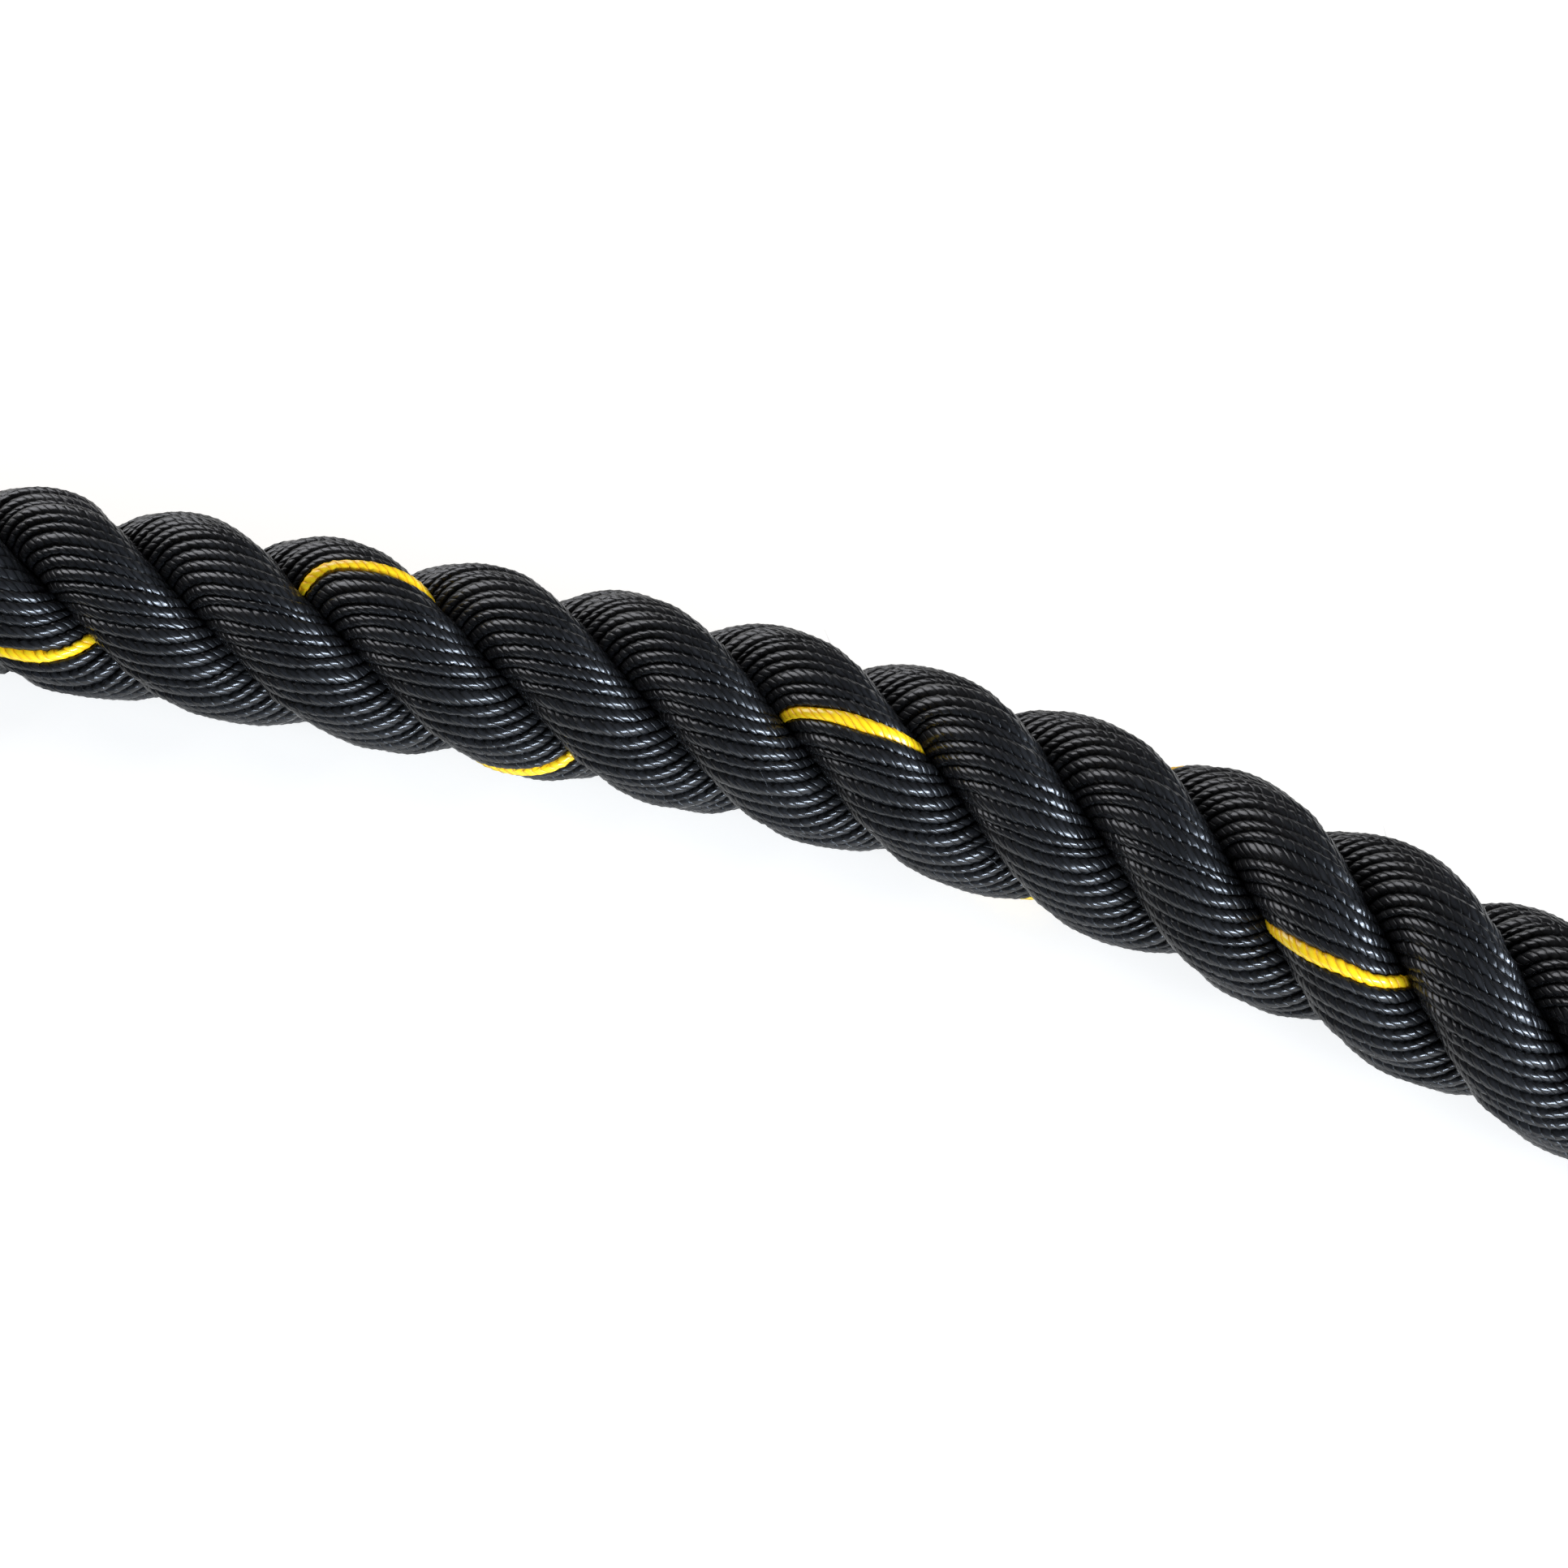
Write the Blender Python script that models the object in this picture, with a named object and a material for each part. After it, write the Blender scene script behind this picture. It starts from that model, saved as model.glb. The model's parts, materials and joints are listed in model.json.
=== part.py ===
"""Three-strand battle rope with a rubber grip at each end, most of it put away in a strapped coil.

Units are metres, +Z is up and the floor is z = 0. The rope runs from the mouth of grip A
along the floor, into the bottom layer of the coil, up through its four layers and on to
grip B, which lies on top. The finished model is centred on its footprint.
"""

import math

import bmesh
import bpy
import numpy as np
from mathutils import Matrix, Vector

# Rope
ROPE_DIAMETER = 0.038
ROPE_LENGTH = 9.0           # from end to end, with both grips
LAY_LENGTH = 0.0875         # along the rope, for one turn of a strand
STRAND_COUNT = 3
LOBE_CENTRE_SHARE = 0.537   # of the rope's radius: where a strand's middle lies
LOBE_TANGENT_SHARE = 0.57   # of the rope's radius: half a strand's width round the rope
FLAT_SHARE = 0.1            # of the diameter: how deep the weight flattens the underside

# Fits and gaps
FACE_GAP = 0.0003           # between faces that meet
ROUND_GAP = 0.0004          # all round, where one round piece sits in another
STRAND_GAP = 0.0004         # between two strands
TURN_GAP = 0.0010           # between the coil's turns, and between its layers
CUT_OVERRUN = 0.004         # how far a cutter runs past what it cuts

# Grips: rubber sleeves shrunk over the rope's ends
GRIP_LENGTH = 0.210
GRIP_WALL = 0.0017
GRIP_EDGE = 0.0012          # rounding of the mouth and of the closed-in end
LIP_DEPTH = 0.0022          # of the rim that folds in over the rope's end
LIP_REACH = 0.0045          # how far that rim folds in past the bore
TAPE_LENGTH = 0.030
TAPE_WALL = 0.0008
TAPE_TAPER = 0.012          # length over which the strands are drawn in to the tape
GRIP_SEGMENTS = 32
SECTION_POINTS = 7          # across the outside of one strand
SECTION_STEP_TURNS = 1 / 12

# Coil
COIL_LAYERS = 4
TURNS_PER_LAYER = 1.5
CLIMB_TURNS = 0.5
POINTS_PER_TURN = 24
COIL_TILT_DEG = 30          # turns the six-sided tube so that its layers touch along an edge
TAIL_LENGTH = 0.30          # of the bend that brings the top end in over the coil
TAIL_BEND_RADIUS = 0.145
TAIL_EASE_SHARE = 0.2       # of the bend, over which it tightens
TAIL_STRAIGHTEN_SHARE = 0.3  # of the bend, over which it runs out straight
TAIL_POINTS = 8

# Straps round the coil
STRAP_WIDTH = 0.025
STRAP_THICKNESS = 0.0020
STRAP_GAP = 0.0004
STRAP_ANGLES_DEG = (20, 135, 215)
STRAP_CORNER_STEP_DEG = 20  # between the outline's points round a turn of rope
STRAP_PROBES_PER_RUN = 16   # points looked at along each straight run of the coil's tube

# Free stretch: places on the floor, seen from above, from grip A to the coil
GRIP_A_MOUTH = (0.168, -0.0702)
GRIP_A_HEADING_DEG = -28
RISE_LENGTH = 0.110         # over which the rope climbs to the thicker grip's middle
STRETCH_ROUTE = (
    (0.1170, -0.0421),
    (0.0720, -0.0163),
    (0.0240, 0.0035),
    (-0.0250, 0.0183),
    (-0.0740, 0.0293),
    (-0.1250, 0.0397),
    (-0.1800, 0.0508),
    (-0.2400, 0.0610),
    (-0.3000, 0.0680),
)
COIL_ENTRY = (-0.390, 0.072)
COIL_REST_TURN = 0.25       # from the coil's entry to the point of its underside that is stated as a mount
STRETCH_STEP_SHARE = 1.6    # of the diameter: distance between the tube's points
ROUTE_SAMPLES = 400

ROPE_RADIUS = ROPE_DIAMETER / 2
REST_HEIGHT = ROPE_RADIUS - FLAT_SHARE * ROPE_DIAMETER
TURN_PITCH = ROPE_DIAMETER + TURN_GAP
GRIP_BORE = ROPE_RADIUS + ROUND_GAP
GRIP_RADIUS = GRIP_BORE + GRIP_WALL
TAPE_RADIUS = GRIP_BORE - ROUND_GAP
TAPED_ROPE_RADIUS = TAPE_RADIUS - TAPE_WALL - ROUND_GAP
FREE_LENGTH = ROPE_LENGTH - 2 * GRIP_LENGTH
COIL_TURNS = COIL_LAYERS * TURNS_PER_LAYER + CLIMB_TURNS / 2
ENTRY_ANGLE = math.pi / 2


def smoothstep(share):
    share = min(max(share, 0.0), 1.0)
    return share * share * (3 - 2 * share)


def heading(degrees):
    return np.array([math.cos(math.radians(degrees)), math.sin(math.radians(degrees))])


def lengths_along(points):
    steps = np.linalg.norm(np.diff(points, axis=0), axis=1)
    return np.concatenate(([0.0], np.cumsum(steps)))


def resample(points, count):
    along = lengths_along(points)
    places = np.linspace(0.0, along[-1], count)
    return np.column_stack([np.interp(places, along, points[:, axis]) for axis in range(points.shape[1])])


def spline_through(knots, start_direction, end_direction, count):
    """Points on the cubic spline through the knots, with both end directions set."""
    knots = np.array(knots)
    along = lengths_along(knots)
    gaps = np.diff(along)
    total = len(knots)
    matrix = np.zeros((total, total))
    right = np.zeros((total, knots.shape[1]))
    matrix[0, 0] = 1.0
    right[0] = start_direction
    matrix[-1, -1] = 1.0
    right[-1] = end_direction
    slopes = np.diff(knots, axis=0) / gaps[:, None]
    for index in range(1, total - 1):
        before, after = gaps[index - 1], gaps[index]
        matrix[index, index - 1:index + 2] = (after, 2 * (before + after), before)
        right[index] = 3 * (after * slopes[index - 1] + before * slopes[index])
    tangents = np.linalg.solve(matrix, right)
    points = []
    for place in np.linspace(0.0, along[-1], count):
        index = min(int(np.searchsorted(along, place, side="right")) - 1, total - 2)
        gap = gaps[index]
        share = (place - along[index]) / gap
        points.append(
            (1 + 2 * share) * (1 - share) ** 2 * knots[index]
            + share * (1 - share) ** 2 * gap * tangents[index]
            + share ** 2 * (3 - 2 * share) * knots[index + 1]
            + share ** 2 * (share - 1) * gap * tangents[index + 1]
        )
    return np.array(points)


def coil_place(turn, mean_radius, centre):
    """Where the rope lies after so many turns: it spirals in and out, a layer up each time."""
    folded = turn % (2 * TURNS_PER_LAYER)
    inward = min(folded, 2 * TURNS_PER_LAYER - folded)
    radius = mean_radius + TURN_PITCH * (TURNS_PER_LAYER / 2 - inward)
    angle = ENTRY_ANGLE + 2 * math.pi * turn
    layers_climbed = sum(
        smoothstep((turn - layer * TURNS_PER_LAYER) / CLIMB_TURNS + 0.5)
        for layer in range(1, COIL_LAYERS + 1)
    )
    return np.array([
        centre[0] + radius * math.cos(angle),
        centre[1] + radius * math.sin(angle),
        REST_HEIGHT + TURN_PITCH * layers_climbed,
    ])


def unit(vector):
    return vector / np.linalg.norm(vector)


def tail_places(start, direction, mean_radius):
    """The top end's bend over the coil, and its straight run into grip B."""
    first_curvature = 1 / mean_radius
    full_curvature = 1 / TAIL_BEND_RADIUS
    angle = math.atan2(direction[1], direction[0])
    place = start.copy()
    places = []
    steps_per_point = 20
    step = TAIL_LENGTH / (TAIL_POINTS * steps_per_point)
    lift = GRIP_RADIUS - ROPE_RADIUS
    for index in range(TAIL_POINTS * steps_per_point):
        share = (index + 0.5) / (TAIL_POINTS * steps_per_point)
        curvature = first_curvature + (full_curvature - first_curvature) * smoothstep(share / TAIL_EASE_SHARE)
        curvature *= 1 - smoothstep((share - 1) / TAIL_STRAIGHTEN_SHARE + 1)
        angle += curvature * step / 2
        place = place + np.array([math.cos(angle) * step, math.sin(angle) * step, 0.0])
        angle += curvature * step / 2
        if (index + 1) % steps_per_point == 0:
            raised = place + np.array([0.0, 0.0, lift * smoothstep((index + 1) / (TAIL_POINTS * steps_per_point))])
            places.append(raised)
    out = np.array([math.cos(angle), math.sin(angle), 0.0])
    places.append(places[-1] + out * ROPE_DIAMETER)
    return places, out


def lay_out_rope(mean_radius):
    """The rope's whole route for a coil of this mean radius."""
    outer_radius = mean_radius + TURN_PITCH * TURNS_PER_LAYER / 2
    centre = np.array([COIL_ENTRY[0], COIL_ENTRY[1] - outer_radius])
    turns = np.linspace(0.0, COIL_TURNS, round(COIL_TURNS * POINTS_PER_TURN) + 1)
    wound = [coil_place(turn, mean_radius, centre) for turn in turns]
    small_turn = CLIMB_TURNS / POINTS_PER_TURN ** 2
    entry_direction = unit(coil_place(small_turn, mean_radius, centre) - wound[0])
    entry_direction[2] = 0.0
    leaving = unit(wound[-1] - coil_place(COIL_TURNS - small_turn, mean_radius, centre))
    tail, grip_b_direction = tail_places(wound[-1], leaving, mean_radius)
    coil = np.array([wound[0] - entry_direction * ROPE_DIAMETER] + wound + tail)

    grip_a_out = heading(GRIP_A_HEADING_DEG)
    mouth = np.array(GRIP_A_MOUTH)
    straight_end = mouth - grip_a_out * ROPE_DIAMETER
    knots = [straight_end] + [np.array(point) for point in STRETCH_ROUTE] + [coil[0][:2]]
    flat = spline_through(knots, -grip_a_out, entry_direction[:2], ROUTE_SAMPLES)
    flat = np.vstack(([mouth], flat))
    along = lengths_along(flat)
    heights = [
        REST_HEIGHT + (GRIP_RADIUS - REST_HEIGHT) * smoothstep(1 - (place - ROPE_DIAMETER) / RISE_LENGTH)
        for place in along
    ]
    stretch = np.column_stack((flat, heights))
    return {
        "centre": centre,
        "stretch": stretch,
        "coil": coil,
        "grip_a": (np.append(mouth, GRIP_RADIUS), np.append(grip_a_out, 0.0)),
        "grip_b": (coil[-1], grip_b_direction),
        "length": along[-1] + lengths_along(coil)[-1],
    }


def tube_points(stretch):
    """The points of the free stretch's tube, with a short straight run into the coil's end."""
    along = lengths_along(stretch)
    entry_direction = unit(stretch[-1] - stretch[-2])
    bend = stretch[(along >= ROPE_DIAMETER) & (along < along[-1] - ROPE_RADIUS)]
    count = max(4, round(along[-1] / (STRETCH_STEP_SHARE * ROPE_DIAMETER)))
    straight_start = stretch[-1] - entry_direction * ROPE_RADIUS
    return np.vstack(([stretch[0]], resample(bend, count)[:-1], [straight_start], [stretch[-1]]))


def fit_coil_to_length():
    """The mean radius at which the free rope between the two grips has its length."""
    low, high = ROPE_DIAMETER, FREE_LENGTH
    for _ in range(60):
        middle = (low + high) / 2
        if lay_out_rope(middle)["length"] > FREE_LENGTH:
            high = middle
        else:
            low = middle
    return low


def make_material(name, colour, roughness):
    material = bpy.data.materials.new(name)
    material.use_nodes = True
    shader = material.node_tree.nodes["Principled BSDF"]
    shader.inputs["Base Color"].default_value = (*colour, 1.0)
    shader.inputs["Roughness"].default_value = roughness
    shader.inputs["Metallic"].default_value = 0.0
    material.diffuse_color = (*colour, 1.0)
    return material


def add_object(name, data, parent, material=None):
    item = bpy.data.objects.new(name, data)
    bpy.context.scene.collection.objects.link(item)
    item.parent = parent
    if material:
        data.materials.clear()
        data.materials.append(material)
    return item


def mesh_from(name, vertices, faces):
    mesh = bpy.data.meshes.new(name)
    mesh.from_pydata([tuple(vertex) for vertex in vertices], [], faces)
    work = bmesh.new()
    work.from_mesh(mesh)
    bmesh.ops.recalc_face_normals(work, faces=work.faces)
    work.to_mesh(mesh)
    work.free()
    return mesh


def shade_round(mesh):
    mesh.shade_smooth()
    mesh.set_sharp_from_angle(angle=math.radians(50))


def tube_mesh(name, points, bevel_resolution, tilt_degrees):
    """A closed tube of the rope's diameter along the points, as a mesh."""
    curve = bpy.data.curves.new(name, "CURVE")
    curve.dimensions = "3D"
    curve.twist_mode = "Z_UP"
    curve.bevel_depth = ROPE_RADIUS
    curve.bevel_resolution = bevel_resolution
    curve.use_fill_caps = True
    spline = curve.splines.new("POLY")
    spline.points.add(len(points) - 1)
    for target, place in zip(spline.points, points):
        target.co = (*place, 1.0)
        target.tilt = math.radians(tilt_degrees)
    holder = bpy.data.objects.new(name, curve)
    bpy.context.scene.collection.objects.link(holder)
    bpy.context.view_layer.update()
    evaluated = holder.evaluated_get(bpy.context.evaluated_depsgraph_get())
    mesh = bpy.data.meshes.new_from_object(evaluated)
    bpy.data.objects.remove(holder)
    work = bmesh.new()
    work.from_mesh(mesh)
    bmesh.ops.remove_doubles(work, verts=work.verts, dist=FACE_GAP / 10)
    bmesh.ops.recalc_face_normals(work, faces=work.faces)
    work.to_mesh(mesh)
    work.free()
    shade_round(mesh)
    return mesh


def add_cutter(name, size, matrix, parent):
    work = bmesh.new()
    bmesh.ops.create_cube(work, size=1.0)
    bmesh.ops.scale(work, vec=size, verts=work.verts)
    mesh = bpy.data.meshes.new(name)
    work.to_mesh(mesh)
    work.free()
    cutter = add_object(name, mesh, parent)
    cutter.matrix_local = matrix
    cutter.display_type = "WIRE"
    cutter.hide_render = True
    return cutter


def cut_away(target, cutter):
    modifier = target.modifiers.new(cutter.name, "BOOLEAN")
    modifier.operation = "DIFFERENCE"
    modifier.object = cutter


def turned_mesh(name, profile):
    """A solid of revolution about X from a closed outline of (x, radius) points."""
    work = bmesh.new()
    ring = [work.verts.new((x, 0.0, radius)) for x, radius in profile]
    edges = [work.edges.new((ring[index - 1], ring[index])) for index in range(len(ring))]
    bmesh.ops.spin(work, geom=ring + edges, cent=(0, 0, 0), axis=(1, 0, 0),
                   angle=2 * math.pi, steps=GRIP_SEGMENTS, use_merge=True)
    bmesh.ops.remove_doubles(work, verts=work.verts, dist=FACE_GAP / 10)
    bmesh.ops.recalc_face_normals(work, faces=work.faces)
    mesh = bpy.data.meshes.new(name)
    work.to_mesh(mesh)
    work.free()
    shade_round(mesh)
    return mesh


def grip_profile():
    """The sleeve's outline: an open mouth at x = 0 and a rim folded in at the far end."""
    lip_radius = GRIP_BORE - LIP_REACH
    lip_start = GRIP_LENGTH - LIP_DEPTH
    return [
        (0.0, GRIP_BORE),
        (0.0, GRIP_RADIUS - GRIP_EDGE),
        (GRIP_EDGE, GRIP_RADIUS),
        (GRIP_LENGTH - 2 * GRIP_EDGE, GRIP_RADIUS),
        (GRIP_LENGTH - GRIP_EDGE / 2, GRIP_RADIUS - GRIP_EDGE / 2),
        (GRIP_LENGTH, GRIP_RADIUS - 2 * GRIP_EDGE),
        (GRIP_LENGTH, lip_radius),
        (lip_start, lip_radius),
        (lip_start, GRIP_BORE),
    ]


def tape_profile():
    end = GRIP_LENGTH - LIP_DEPTH - FACE_GAP
    inner = TAPE_RADIUS - TAPE_WALL
    return [(end - TAPE_LENGTH, inner), (end - TAPE_LENGTH, TAPE_RADIUS), (end, TAPE_RADIUS), (end, inner)]


def lobe_reach(angle):
    """How far a strand reaches from the rope's middle, this far round from its own crown."""
    centre = LOBE_CENTRE_SHARE
    along = 1 - LOBE_CENTRE_SHARE
    across = LOBE_TANGENT_SHARE
    cosine, sine = math.cos(angle), math.sin(angle)
    a = (cosine / along) ** 2 + (sine / across) ** 2
    b = cosine * centre / along ** 2
    c = (centre / along) ** 2 - 1
    return (b + math.sqrt(b * b - a * c)) / a


def strand_mesh(name, strand):
    """One laid strand inside the grip: a lobe of the rope's section, twisted right-handed."""
    start = FACE_GAP / 2
    end = GRIP_LENGTH - LIP_DEPTH - FACE_GAP
    tape_start = end - TAPE_LENGTH - FACE_GAP
    stations = max(2, round((end - start) / (LAY_LENGTH * SECTION_STEP_TURNS))) + 1
    sector = math.pi / STRAND_COUNT
    offset = STRAND_GAP / (2 * math.sin(sector))
    angles = np.linspace(-sector, sector, SECTION_POINTS)
    vertices = []
    for x in np.linspace(start, end, stations):
        drawn_in = smoothstep((x - tape_start) / TAPE_TAPER + 1)
        radius = ROPE_RADIUS + (TAPED_ROPE_RADIUS - ROPE_RADIUS) * drawn_in
        turn = 2 * math.pi * (x / LAY_LENGTH + strand / STRAND_COUNT)
        section = [(offset, 0.0)]
        for angle in angles:
            reach = lobe_reach(angle) * (radius - offset)
            section.append((reach * math.cos(angle) + offset, reach * math.sin(angle)))
        for outward, sideways in section:
            vertices.append((
                x,
                outward * math.cos(turn) - sideways * math.sin(turn),
                outward * math.sin(turn) + sideways * math.cos(turn),
            ))
    count = SECTION_POINTS + 1
    faces = [tuple(range(count)), tuple(reversed(range((stations - 1) * count, stations * count)))]
    for station in range(stations - 1):
        base, following = station * count, (station + 1) * count
        for index in range(count):
            after = (index + 1) % count
            if after:
                faces.append((base + index, following + index, following + after))
                faces.append((base + index, following + after, base + after))
            else:
                faces.append((base + index, following + index, base + after))
                faces.append((following + index, following + after, base + after))
    mesh = mesh_from(name, vertices, faces)
    shade_round(mesh)
    return mesh


def add_grip(letter, mouth, direction, parent, materials):
    """A grip and what it holds: the taped ends of the three strands."""
    angle = math.atan2(direction[1], direction[0])
    place = Matrix.Translation(Vector(mouth)) @ Matrix.Rotation(angle, 4, "Z")
    pieces = [
        add_object(f"grip_sleeve_{letter}", turned_mesh(f"grip_sleeve_{letter}", grip_profile()),
                   parent, materials["rubber"]),
        add_object(f"end_tape_{letter}", turned_mesh(f"end_tape_{letter}", tape_profile()),
                   parent, materials["tape"]),
    ]
    for strand in range(STRAND_COUNT):
        name = f"strand_end_{letter}{strand + 1}"
        pieces.append(add_object(name, strand_mesh(name, strand), parent, materials["rope"]))
    for piece in pieces:
        piece.matrix_local = place


def convex_outline(points):
    """The corners of the points' convex outline, counter-clockwise."""
    ordered = sorted(set(points))
    halves = []
    for run in (ordered, ordered[::-1]):
        half = []
        for point in run:
            while len(half) > 1:
                (ax, ay), (bx, by) = half[-2], half[-1]
                if (bx - ax) * (point[1] - ay) - (by - ay) * (point[0] - ax) > 0:
                    break
                half.pop()
            half.append(point)
        halves += half[:-1]
    return halves


def rounded_corners(corners):
    """Each corner with the directions its rounding faces, from one edge's normal to the next."""
    supports = []
    count = len(corners)
    for index, corner in enumerate(corners):
        before, after = corners[index - 1], corners[(index + 1) % count]
        first = math.atan2(corner[1] - before[1], corner[0] - before[0]) - math.pi / 2
        last = math.atan2(after[1] - corner[1], after[0] - corner[0]) - math.pi / 2
        sweep = (last - first) % (2 * math.pi)
        steps = max(1, math.ceil(sweep / math.radians(STRAP_CORNER_STEP_DEG)))
        supports += [(corner, first + sweep * step / steps) for step in range(steps + 1)]
    return supports


def add_strap(number, angle_degrees, coil, centre, parent, material):
    """A band drawn tight round every turn that passes this angle of the coil."""
    outward = np.append(heading(angle_degrees), 0.0)
    sideways = np.array([-outward[1], outward[0], 0.0])
    middle = np.append(centre, 0.0)
    reach = STRAP_WIDTH / 2 + ROPE_RADIUS / 2
    crossings = []
    for first, second in zip(coil[:-1], coil[1:]):
        for share in np.linspace(0.0, 1.0, STRAP_PROBES_PER_RUN):
            offset = first + (second - first) * share - middle
            if abs(offset @ sideways) <= reach and offset @ outward > 0:
                crossings.append((offset @ outward, offset[2]))
    supports = rounded_corners(convex_outline(crossings))
    outlines = []
    for clearance, floor in ((STRAP_GAP, STRAP_THICKNESS), (STRAP_GAP + STRAP_THICKNESS, 0.0)):
        outline = []
        for corner, turn in supports:
            radius = corner[0] + (ROPE_RADIUS + clearance) * math.cos(turn)
            height = corner[1] + (ROPE_RADIUS + clearance) * math.sin(turn)
            outline.append((radius, max(height, floor)))
        outlines.append(outline)
    vertices = []
    for side in (-STRAP_WIDTH / 2, STRAP_WIDTH / 2):
        for outline in outlines:
            vertices += [middle + outward * radius + sideways * side + np.array([0.0, 0.0, height])
                         for radius, height in outline]
    count = len(supports)
    faces = []
    for index in range(count):
        after = (index + 1) % count
        inner, outer, far_inner, far_outer = index, index + count, index + 2 * count, index + 3 * count
        inner_next, outer_next = after, after + count
        far_inner_next, far_outer_next = after + 2 * count, after + 3 * count
        faces.append((inner, inner_next, outer_next, outer))
        faces.append((far_inner, far_outer, far_outer_next, far_inner_next))
        faces.append((outer, outer_next, far_outer_next, far_outer))
        faces.append((inner, far_inner, far_inner_next, inner_next))
    name = f"coil_strap_{number}"
    add_object(name, mesh_from(name, vertices, faces), parent, material)

    radii = np.array([crossing[0] for crossing in crossings])
    length = np.ptp(radii) + 2 * ROPE_DIAMETER
    height = STRAP_THICKNESS + FACE_GAP + CUT_OVERRUN
    matrix = Matrix.Translation(Vector(middle + outward * (radii.min() + radii.max()) / 2)
                                + Vector((0, 0, height / 2 - CUT_OVERRUN)))
    matrix = matrix @ Matrix.Rotation(math.radians(angle_degrees), 4, "Z")
    return add_cutter(f"strap_groove_{number}", (length, STRAP_WIDTH + 2 * FACE_GAP, height), matrix, parent)


def least_gap_to_itself(points):
    """The least clear distance between stretches of the coil that aren't neighbours along it."""
    fine = resample(points, 8 * len(points))
    along = lengths_along(fine)
    least = FREE_LENGTH
    for index in range(len(fine)):
        far_enough = along - along[index] > math.pi * ROPE_DIAMETER
        if far_enough.any():
            distances = np.linalg.norm(fine[far_enough] - fine[index], axis=1)
            least = min(least, distances.min())
    return least - ROPE_DIAMETER


def model_bounds(objects):
    graph = bpy.context.evaluated_depsgraph_get()
    corners = []
    for item in objects:
        evaluated = item.evaluated_get(graph)
        mesh = evaluated.to_mesh()
        corners += [evaluated.matrix_world @ vertex.co for vertex in mesh.vertices]
        evaluated.to_mesh_clear()
    corners = np.array(corners)
    return corners.min(axis=0), corners.max(axis=0)


def build():
    for item in list(bpy.data.objects):
        bpy.data.objects.remove(item)
    materials = {
        "rope": make_material("black_polyester", (0.012, 0.012, 0.014), 0.7),
        "rubber": make_material("black_shrink_rubber", (0.018, 0.018, 0.018), 0.55),
        "tape": make_material("black_cloth_tape", (0.025, 0.025, 0.025), 0.6),
        "strap": make_material("black_hook_and_loop", (0.02, 0.02, 0.021), 0.85),
    }
    root = bpy.data.objects.new("battle_rope", None)
    bpy.context.scene.collection.objects.link(root)

    mean_radius = fit_coil_to_length()
    route = lay_out_rope(mean_radius)
    coil = route["coil"]
    face_inset = FACE_GAP / 2
    stretch = tube_points(route["stretch"])
    stretch[0] += unit(stretch[1] - stretch[0]) * face_inset
    stretch[-1] += unit(stretch[-2] - stretch[-1]) * face_inset
    coil = coil.copy()
    coil[0] += unit(coil[1] - coil[0]) * face_inset
    coil[-1] -= unit(coil[-1] - coil[-2]) * face_inset

    stretch_tube = add_object("rope_stretch", tube_mesh("rope_stretch", stretch, 2, 0), root, materials["rope"])
    coil_tube = add_object("rope_coil", tube_mesh("rope_coil", coil, 1, COIL_TILT_DEG), root, materials["rope"])
    add_grip("a", *route["grip_a"], root, materials)
    add_grip("b", *route["grip_b"], root, materials)

    span = FREE_LENGTH
    floor_matrix = Matrix.Translation((*route["centre"], -ROPE_DIAMETER / 2))
    floor = add_cutter("floor_cut", (span, span, ROPE_DIAMETER), floor_matrix, root)
    cut_away(stretch_tube, floor)
    cut_away(coil_tube, floor)
    for number, angle in enumerate(STRAP_ANGLES_DEG, start=1):
        groove = add_strap(number, angle, coil, route["centre"], root, materials["strap"])
        cut_away(coil_tube, groove)

    bpy.context.view_layer.update()
    low, high = model_bounds([item for item in bpy.data.objects if item.type == "MESH" and not item.hide_render])
    root.location = (-(low[0] + high[0]) / 2, -(low[1] + high[1]) / 2, 0.0)
    bpy.context.view_layer.update()
    print(f"free rope between the grips {route['length']:.4f} m, coil mean radius {mean_radius:.4f} m")
    print(f"coil's least gap to itself {least_gap_to_itself(coil) * 1000:.2f} mm")
    rest = coil_place(COIL_REST_TURN, mean_radius, route["centre"]) + np.array(root.location)
    print(f"coil rests at {np.round(rest[:2], 5)}, centre {np.round(route['centre'] + np.array(root.location)[:2], 5)}")
    print(f"box {np.round(high - low, 4)}, moved by {[round(value, 5) for value in root.location]}")


build()
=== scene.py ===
"""Looks of the three-strand battle rope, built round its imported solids.

Each of the rope's three strands is one long piece whose outer yarns run as they do in a laid
rope: the strands turn right-handed round each other and the yarns turn back inside each strand.
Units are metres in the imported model's frame, unless a name says millimetres.
"""

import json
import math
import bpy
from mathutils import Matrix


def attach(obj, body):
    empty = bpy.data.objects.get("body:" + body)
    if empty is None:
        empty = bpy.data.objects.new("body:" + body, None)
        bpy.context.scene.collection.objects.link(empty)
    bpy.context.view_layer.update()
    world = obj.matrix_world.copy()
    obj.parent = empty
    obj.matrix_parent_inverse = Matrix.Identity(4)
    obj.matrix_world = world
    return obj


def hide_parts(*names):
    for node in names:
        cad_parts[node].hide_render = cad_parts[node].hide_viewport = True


bl_info = {
    "name": "Battle rope",
    "version": (1, 0, 0),
    "blender": (4, 5, 0),
    "location": "3D Viewport > Sidebar > Battle Rope",
    "description": "Builds a laid battle rope with a tracer yarn, grips, coil straps and a studio floor",
    "category": "Object",
}

import bmesh
import bpy
import numpy as np
from mathutils import Vector

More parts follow.
